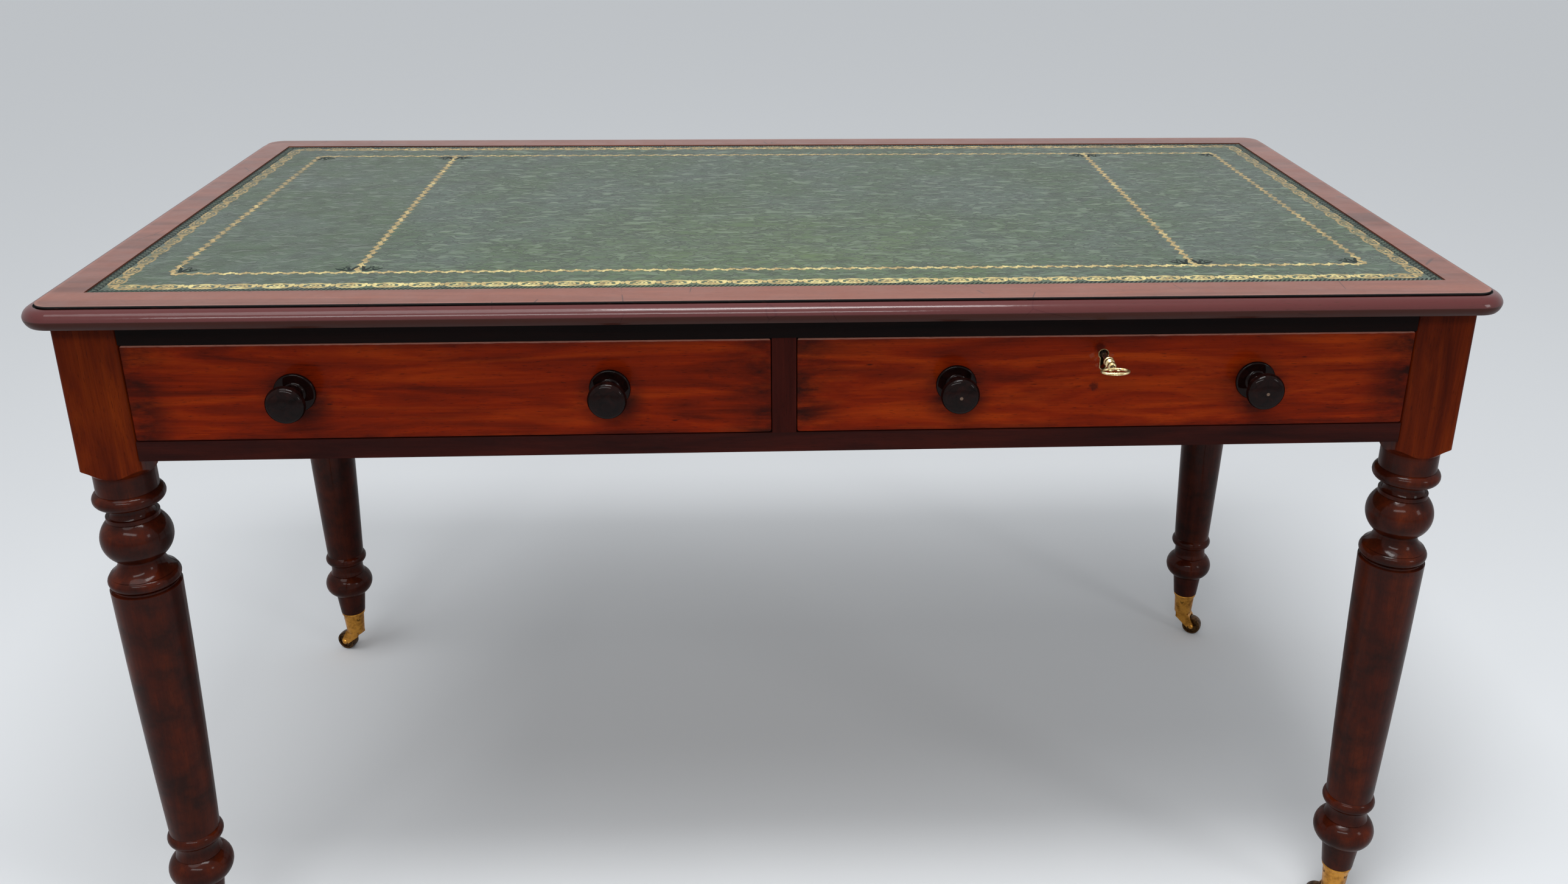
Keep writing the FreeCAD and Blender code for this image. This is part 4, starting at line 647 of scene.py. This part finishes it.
# The wide roll, one repeat about its rosette: a flattened spiral, a bracket-shaped swag below it (its
# height rises with the fourth power of x), an arch above it (falling with x squared), and leaves that
# spring to and from the tie where two repeats meet.
def outerRoll():
    reach = toolLook["outerLong"] / 2
    s = np.linspace(-1, 1, 9)
    swag = np.stack([s * 13.6 * mm, (-6.2 + 3.4 * s ** 4) * mm], axis=-1)
    arch = np.stack([s[::2] * 10 * mm, (5.9 - 2.4 * s[::2] ** 2) * mm], axis=-1)
    rosette = spiral((0, 0), 4.6 * mm, -0.5 * np.pi, 1.45, 12) * (1.5, 0.95)
    strokes = [(swag, tapered(9, 3.3 * mm, 0.4)), (arch, tapered(5, 2.6 * mm, 0.3)),
               (rosette, tapered(12, 2.1 * mm, 0.6))]
    leaves = ((10.4, -0.6, 0.75, 5.8), (10.4, -0.6, 0.1, 5.6), (10.0, -1.0, -0.7, 4.2), (11.5, 1.8, 2.1, 4.8),
              (7.4, -2.4, 2.7, 3.6), (13.5, 1.0, 1.3, 4.6))
    for sign in (-1, 1):
        for x, y, lean, length in leaves:
            line = leafLine((x * mm, y * mm), lean, length * mm, 0.6, 4) * (sign, 1)
            strokes.append((line, tapered(4, 3.1 * mm, 0.35)))
        tie = np.array([[reach * 0.97, -3.4 * mm], [reach * 0.93, 0], [reach * 0.97, 3.4 * mm]]) * (sign, 1)
        strokes.append((tie, tapered(3, 2.2 * mm, 0.5)))
    return strokes


# The narrow roll: slanting S strokes overlapped end to end, each with two leaves above and below.
def innerRoll():
    look = toolLook
    long, half = look["innerLong"], look["innerHalf"]
    t = np.linspace(-1, 1, 7)
    curve = np.stack([t * long * 0.48, half * 0.5 * np.sin(t * np.pi * 0.9)], axis=-1)
    strokes = [(curve, tapered(7, 4.2 * mm, 0.45))]
    for sign in (-1, 1):
        for x, y, lean, length in ((0.1, 0.3, 0.8, 3.8), (0.3, -0.3, 2.5, 3.2), (0.36, 0.1, 0.9, 3.0)):
            root = (sign * long * x, sign * half * y)
            strokes.append((leafLine(root, sign * lean, length * mm, sign * 0.7, 4), tapered(4, 2.6 * mm, 0.3)))
    return strokes


# A flat band for a stroke: each point of the line gets four corners, left and right of it and on
# its bed and top, and the faces join each four to the next, with the two ends closed.
def strokeBand(line, widths, level, thick):
    heading = np.gradient(line, axis=0)
    heading /= np.linalg.norm(heading, axis=1, keepdims=True)
    side = np.stack([-heading[:, 1], heading[:, 0]], axis=-1) * widths[:, None] / 2
    count = len(line)
    corners = np.zeros((count, 4, 3))
    corners[:, 0, :2] = corners[:, 1, :2] = line + side
    corners[:, 2, :2] = corners[:, 3, :2] = line - side
    corners[:, :, 2] = level + np.array([0, thick, thick, 0])
    ring = np.arange(count - 1)[:, None] * 4 + np.arange(4)
    following = np.arange(count - 1)[:, None] * 4 + (np.arange(4) + 1) % 4
    walls = np.stack([ring, ring + 4, following + 4, following], axis=-1).reshape(-1, 4)
    last = (count - 1) * 4
    ends = np.array([[0, 1, 2, 3], [last + 3, last + 2, last + 1, last]])
    return corners, np.vstack([walls, ends])


# Rolls strokes along straight runs: the run's length is shared out in whole repeats, each stroke is
# turned to the run's direction, and every repeat is worked out in one array. Each stroke is a little
# thicker than the one before it, so that no two of them share a face where they cross.
def rollAlong(strokes, repeat, runs, level, thick):
    corners, faces, used = [], [], 0
    for start, end, flip in runs:
        start, end = np.array(start), np.array(end)
        length = np.linalg.norm(end - start)
        count = max(1, int(round(length / repeat)))
        ahead = (end - start) / length
        left = np.array([-ahead[1], ahead[0]]) * flip
        places = start + ahead * ((np.arange(count) + 0.5) * length / count)[:, None]
        stretch = length / count / repeat
        for order, (line, widths) in enumerate(strokes):
            flat = line[:, :1] * stretch * ahead + line[:, 1:] * left
            band, walls = strokeBand(flat, widths, level, thick + order * toolLook["step"])
            every = np.repeat(band[None], count, axis=0)
            every[..., :2] += places[:, None, None, :]
            offsets = np.arange(count)[:, None, None] * band[:, :, 0].size + used
            corners.append(every.reshape(-1, 3))
            faces.append((walls[None] + offsets).reshape(-1, 4))
            used += every.size // 3
    return np.vstack(corners), np.vstack(faces)


def rectangleRuns(inset, low, high):
    left, right, near, far = low.x + inset, high.x - inset, low.y + inset, high.y - inset
    return [((left, near), (right, near), 1), ((right, near), (right, far), 1),
            ((right, far), (left, far), 1), ((left, far), (left, near), 1)]


# Gold leaf pressed into leather: bright along the front, where it is whole, and browner and broken
# toward the back and the left, where it has been rubbed away.
def wornGold():
    look = toolLook
    material, tree = newMaterial("rubbed_gold_leaf")
    low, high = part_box("leather_skiver")
    position = addNode(tree, "TexCoord", out="Object")
    parts = addNode(tree, "SeparateXYZ", {"Vector": position}).node.outputs
    back = addNode(tree, "MapRange", {
        "Value": parts[1], "From Min": low.y + 24 * mm, "From Max": low.y + 110 * mm, "To Min": 0, "To Max": 0.13})
    rub = addNode(tree, "TexNoise", {"Vector": position, "Scale": 1 / (16 * mm), "Detail": 6, "Roughness": 0.72})
    outward = addNode(tree, "Math", {0: parts[0]}, operation="ABSOLUTE")
    side = addNode(tree, "MapRange", {
        "Value": outward, "From Min": high.x - 70 * mm, "From Max": high.x - 45 * mm, "To Min": 0, "To Max": 0.1})
    gone = addNode(tree, "Math", {0: rub, 1: back}, operation="ADD")
    dots = addNode(tree, "TexNoise", {"Vector": position, "Scale": 1 / (2.4 * mm), "Detail": 3, "Roughness": 0.6})
    dots = addNode(tree, "MapRange", {"Value": dots, "From Min": 0.3, "From Max": 0.7, "To Min": -0.08, "To Max": 0.08})
    gone = addNode(tree, "Math", {0: gone, 1: dots}, operation="ADD")
    gone = addNode(tree, "Math", {0: gone, 1: side}, operation="ADD")
    bare = addNode(tree, "MapRange", {"Value": gone, "From Min": 0.62, "From Max": 0.78, "To Min": 0, "To Max": 0.85})
    tarnish = addNode(tree, "MapRange", {"Value": gone, "From Min": 0.4, "From Max": 0.62, "To Min": 0, "To Max": 1})
    colour = addNode(tree, "MixRGB", {
        "Fac": tarnish, "Color1": linearColour(look["bright"]), "Color2": linearColour(look["mellow"])})
    colour = addNode(tree, "MixRGB", {"Fac": bare, "Color1": colour, "Color2": linearColour(look["bare"])})
    metal = addNode(tree, "MapRange", {"Value": bare, "From Min": 0, "From Max": 1, "To Min": 0.5, "To Max": 0.1})
    speck = addNode(tree, "TexNoise", {"Vector": position, "Scale": 1 / (1.2 * mm), "Detail": 3})
    bump = addNode(tree, "Bump", {"Height": speck, "Strength": 0.3, "Distance": 0.05 * mm})
    finish(tree, {"Base Color": colour, "Metallic": metal, "Roughness": 0.38, "Normal": bump})
    return material


# Blind tooling is pressed without gold: only the dark, burnished mark of the hot tool.
def burntTooling():
    material, tree = newMaterial("burnished_blind_tooling")
    position = addNode(tree, "TexCoord", out="Object")
    patch = addNode(tree, "TexNoise", {"Vector": position, "Scale": 1 / (9 * mm), "Detail": 4})
    colour = addNode(tree, "ValToRGB", {"Fac": patch}, ramp=[(0.35, "#0b1312"), (0.65, "#1b2723")])
    rough = addNode(tree, "MapRange", {"Value": patch, "From Min": 0.3, "From Max": 0.7, "To Min": 0.45, "To Max": 0.65})
    bump = addNode(tree, "Bump", {"Height": patch, "Strength": 0.3, "Distance": 0.1 * mm})
    finish(tree, {"Base Color": colour, "Roughness": rough, "IOR": 1.5, "Specular IOR Level": 0.15, "Normal": bump})
    return material


# Slanting hatches along the front, and linked oblongs along the sides and back.
def blindStrokes():
    hatch = [(leafLine((-2.6 * mm, -2.8 * mm), 0.72, 7.6 * mm, 0.2, 4), tapered(4, 2.1 * mm, 0.6))]
    angle = np.linspace(0, 2 * np.pi, 15)
    loop = np.stack([2.3 * mm * np.cos(angle), 3.2 * mm * np.sin(angle)], axis=-1)
    links = [(loop, np.full(15, 1.3 * mm))]
    for side in (-1, 1):
        links.append((np.array([[-3.3, 4.1 * side], [0, 4.1 * side], [3.3, 4.1 * side]]) * mm, np.full(3, 0.9 * mm)))
    return hatch, links


# A small sprig that fills a panel's corner: three leaves and two curls.
def cornerSprig():
    strokes = []
    for lean, length in ((0.1, 20), (0.8, 13), (1.45, 17)):
        strokes.append((leafLine((0, 0), lean, length * mm, 0.35, 7), tapered(7, 3.2 * mm, 0.1)))
    strokes.append((spiral((11 * mm, 7 * mm), 4 * mm, 0.4, 0.9, 11), tapered(11, 1.4 * mm, 0.4)))
    strokes.append((spiral((6 * mm, 12 * mm), 3.4 * mm, 2.2, 0.9, 11, -1), tapered(11, 1.4 * mm, 0.4)))
    return strokes


def placedStrokes(strokes, places, level, thick):
    corners, faces, used = [], [], 0
    for x, y, signX, signY in places:
        for order, (line, widths) in enumerate(strokes):
            band, walls = strokeBand(
                line * (signX, signY) + (x, y), widths, level, thick + order * toolLook["step"])
            if signX * signY < 0:
                walls = walls[:, ::-1]
            corners.append(band.reshape(-1, 3))
            faces.append(walls + used)
            used += band.size // 3
    return np.vstack(corners), np.vstack(faces)


def makeLeather():
    look, tool = leatherLook, toolLook
    low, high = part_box("leather_skiver")
    leather = leatherSurface()
    addPiece(leather, "frame", greenLeather())
    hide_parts("leather_skiver")
    level = high.z - look["wrinkle"] * 0.5 - tool["bed"]
    gold, burnt = wornGold(), burntTooling()
    outer = rollAlong(outerRoll(), tool["outerLong"], rectangleRuns(look["outerInset"], low, high), level, tool["leaf"])
    addPiece(meshFrom("gold_outer_roll", *outer), "frame", gold)
    runs = rectangleRuns(look["innerInset"], low, high)
    for side in (-1, 1):
        x = side * look["divider"]
        runs.append(((x, low.y + look["innerInset"]), (x, high.y - look["innerInset"]), 1))
    inner = rollAlong(innerRoll(), tool["innerLong"], runs, level, tool["leaf"])
    addPiece(meshFrom("gold_inner_roll", *inner), "frame", gold)
    hatch, links = blindStrokes()
    edge = rectangleRuns(5.2 * mm, low, high)
    front = rollAlong(hatch, 4.4 * mm, edge[:1], level, tool["leaf"])
    addPiece(meshFrom("blind_hatching", *front), "frame", burnt)
    rest = rollAlong(links, 6.2 * mm, edge[1:], level, tool["leaf"])
    addPiece(meshFrom("blind_links", *rest), "frame", burnt)
    places = []
    step = look["innerInset"] + 5 * mm
    bays = (low.x + step, -look["divider"] - 5 * mm, -look["divider"] + 5 * mm,
            look["divider"] - 5 * mm, look["divider"] + 5 * mm, high.x - step)
    for index, x in enumerate(bays):
        for y, sign in ((low.y + step, 1), (high.y - step, -1)):
            places.append((x, y, 1 if index % 2 == 0 else -1, sign))
    sprigs = placedStrokes(cornerSprig(), places, high.z - tool["sprigDeep"], tool["sprigDeep"] - tool["bed"])
    addPiece(meshFrom("blind_sprigs", *sprigs), "frame", burnt)


stageLook = {
    "floor": "#e2e5e8", "bounce": "#8f8c88", "sky": "#edf0f3", "skyLevel": 0.42, "skySeen": 0.85,
    "floorReach": 300,
    "camera": (-0.02668, -1.52137, 1.18499), "yaw": 0.059, "pitch": -0.3718, "roll": 0.0094,
    "lens": 31.65, "sensor": 36, "shift": (-0.03031, -0.05435),
}


# 1 for what the camera sees, straight or in a reflection or through glass, and 0 for light's own bounces.
def whereSeen(tree):
    path = addNode(tree, "LightPath").node.outputs
    seen = addNode(tree, "Math", {0: path["Is Camera Ray"], 1: path["Is Glossy Ray"]}, operation="MAXIMUM")
    return addNode(tree, "Math", {0: seen, 1: path["Is Transmission Ray"]}, operation="MAXIMUM")


# The floor is pale where it is seen, straight or in a reflection, and darker in the light it gives back.
def makeFloor():
    look = stageLook
    reach = look["floorReach"]
    corners = np.array([[-reach, -reach, 0], [reach, -reach, 0], [reach, reach, 0], [-reach, reach, 0]], float)
    floor = meshFrom("floor", corners, np.array([[0, 1, 2, 3]]))
    material, tree = newMaterial("pale_studio_floor")
    colour = addNode(tree, "MixRGB", {
        "Fac": whereSeen(tree), "Color1": linearColour(look["bounce"]), "Color2": linearColour(look["floor"])})
    finish(tree, {"Base Color": colour, "Roughness": 0.9, "Specular IOR Level": 0.1})
    floor.data.materials.append(material)


# A plain pale sky all round fills the shadows gently, and is nearly white where polish mirrors it.
def makeSky():
    world = bpy.data.worlds.new("pale_sky")
    world.use_nodes = True
    tree = world.node_tree
    level = addNode(tree, "MapRange", {
        "Value": whereSeen(tree), "To Min": stageLook["skyLevel"], "To Max": stageLook["skySeen"]})
    wire(tree, tree.nodes["Background"], {"Color": linearColour(stageLook["sky"]), "Strength": level})
    bpy.context.scene.world = world


# name: (place, aimed at, size, watts)
lampLook = {
    "overhead": ((0.1, -0.8, 2.8), (0, -0.1, 0.7), (1.0, 0.5), 28),
    "front_high": ((-0.6, -2.6, 2.4), (0, -0.2, 0.6), (2.2, 0.4), 27),
    "front_right": ((2.4, -2.0, 1.6), (0, -0.2, 0.6), (0.5, 0.7), 7),
}


sunLook = {"watts": 1.0, "spread": 0.6, "tilt": (0.25, -0.2, 0)}


# A wide soft sun lights the floor evenly as far as it is seen; the lamps shape the table.
def makeSun():
    lamp = bpy.data.lights.new("wide_sun", "SUN")
    lamp.energy, lamp.angle = sunLook["watts"], sunLook["spread"]
    holder = bpy.data.objects.new("wide_sun", lamp)
    holder.location = (0, 0, 3)
    holder.rotation_euler = sunLook["tilt"]
    bpy.context.scene.collection.objects.link(holder)


def makeLamps():
    for name, (place, aim, size, watts) in lampLook.items():
        lamp = bpy.data.lights.new(name, "AREA")
        lamp.shape = "RECTANGLE"
        lamp.size, lamp.size_y = size
        lamp.energy = watts
        holder = bpy.data.objects.new(name, lamp)
        holder.location = place
        towards = np.array(aim) - np.array(place)
        flat = math.hypot(towards[0], towards[1])
        holder.rotation_euler = (math.atan2(flat, -towards[2]), 0, math.atan2(-towards[0], towards[1]))
        bpy.context.scene.collection.objects.link(holder)


# The camera's axes from its turn, tilt and roll: it looks along the turned Y axis, tilted down.
def makeCamera():
    look = stageLook
    yaw, pitch, roll = look["yaw"], look["pitch"], look["roll"]
    ahead = np.array([math.sin(yaw) * math.cos(pitch), math.cos(yaw) * math.cos(pitch), math.sin(pitch)])
    right = np.array([math.cos(yaw), -math.sin(yaw), 0])
    above = np.cross(right, ahead)
    across = math.cos(roll) * right + math.sin(roll) * above
    upward = math.cos(roll) * above - math.sin(roll) * right
    lens = bpy.data.cameras.new("camera")
    lens.lens, lens.sensor_width = look["lens"], look["sensor"]
    lens.shift_x, lens.shift_y = look["shift"]
    camera = bpy.data.objects.new("camera", lens)
    matrix = np.eye(4)
    matrix[:3, 0], matrix[:3, 1], matrix[:3, 2], matrix[:3, 3] = across, upward, -ahead, look["camera"]
    camera.matrix_world = Matrix(matrix)
    bpy.context.scene.collection.objects.link(camera)
    bpy.context.scene.camera = camera


makeWoods()
oakLining()
pineCarcase()
print("woods finished")
makeMetals()
print("metals finished")
makeLeather()
print("leather and tooling laid")
makeFloor()
makeSky()
makeLamps()
makeSun()
makeCamera()
bpy.context.scene.view_settings.view_transform = "Standard"
print("stage set")
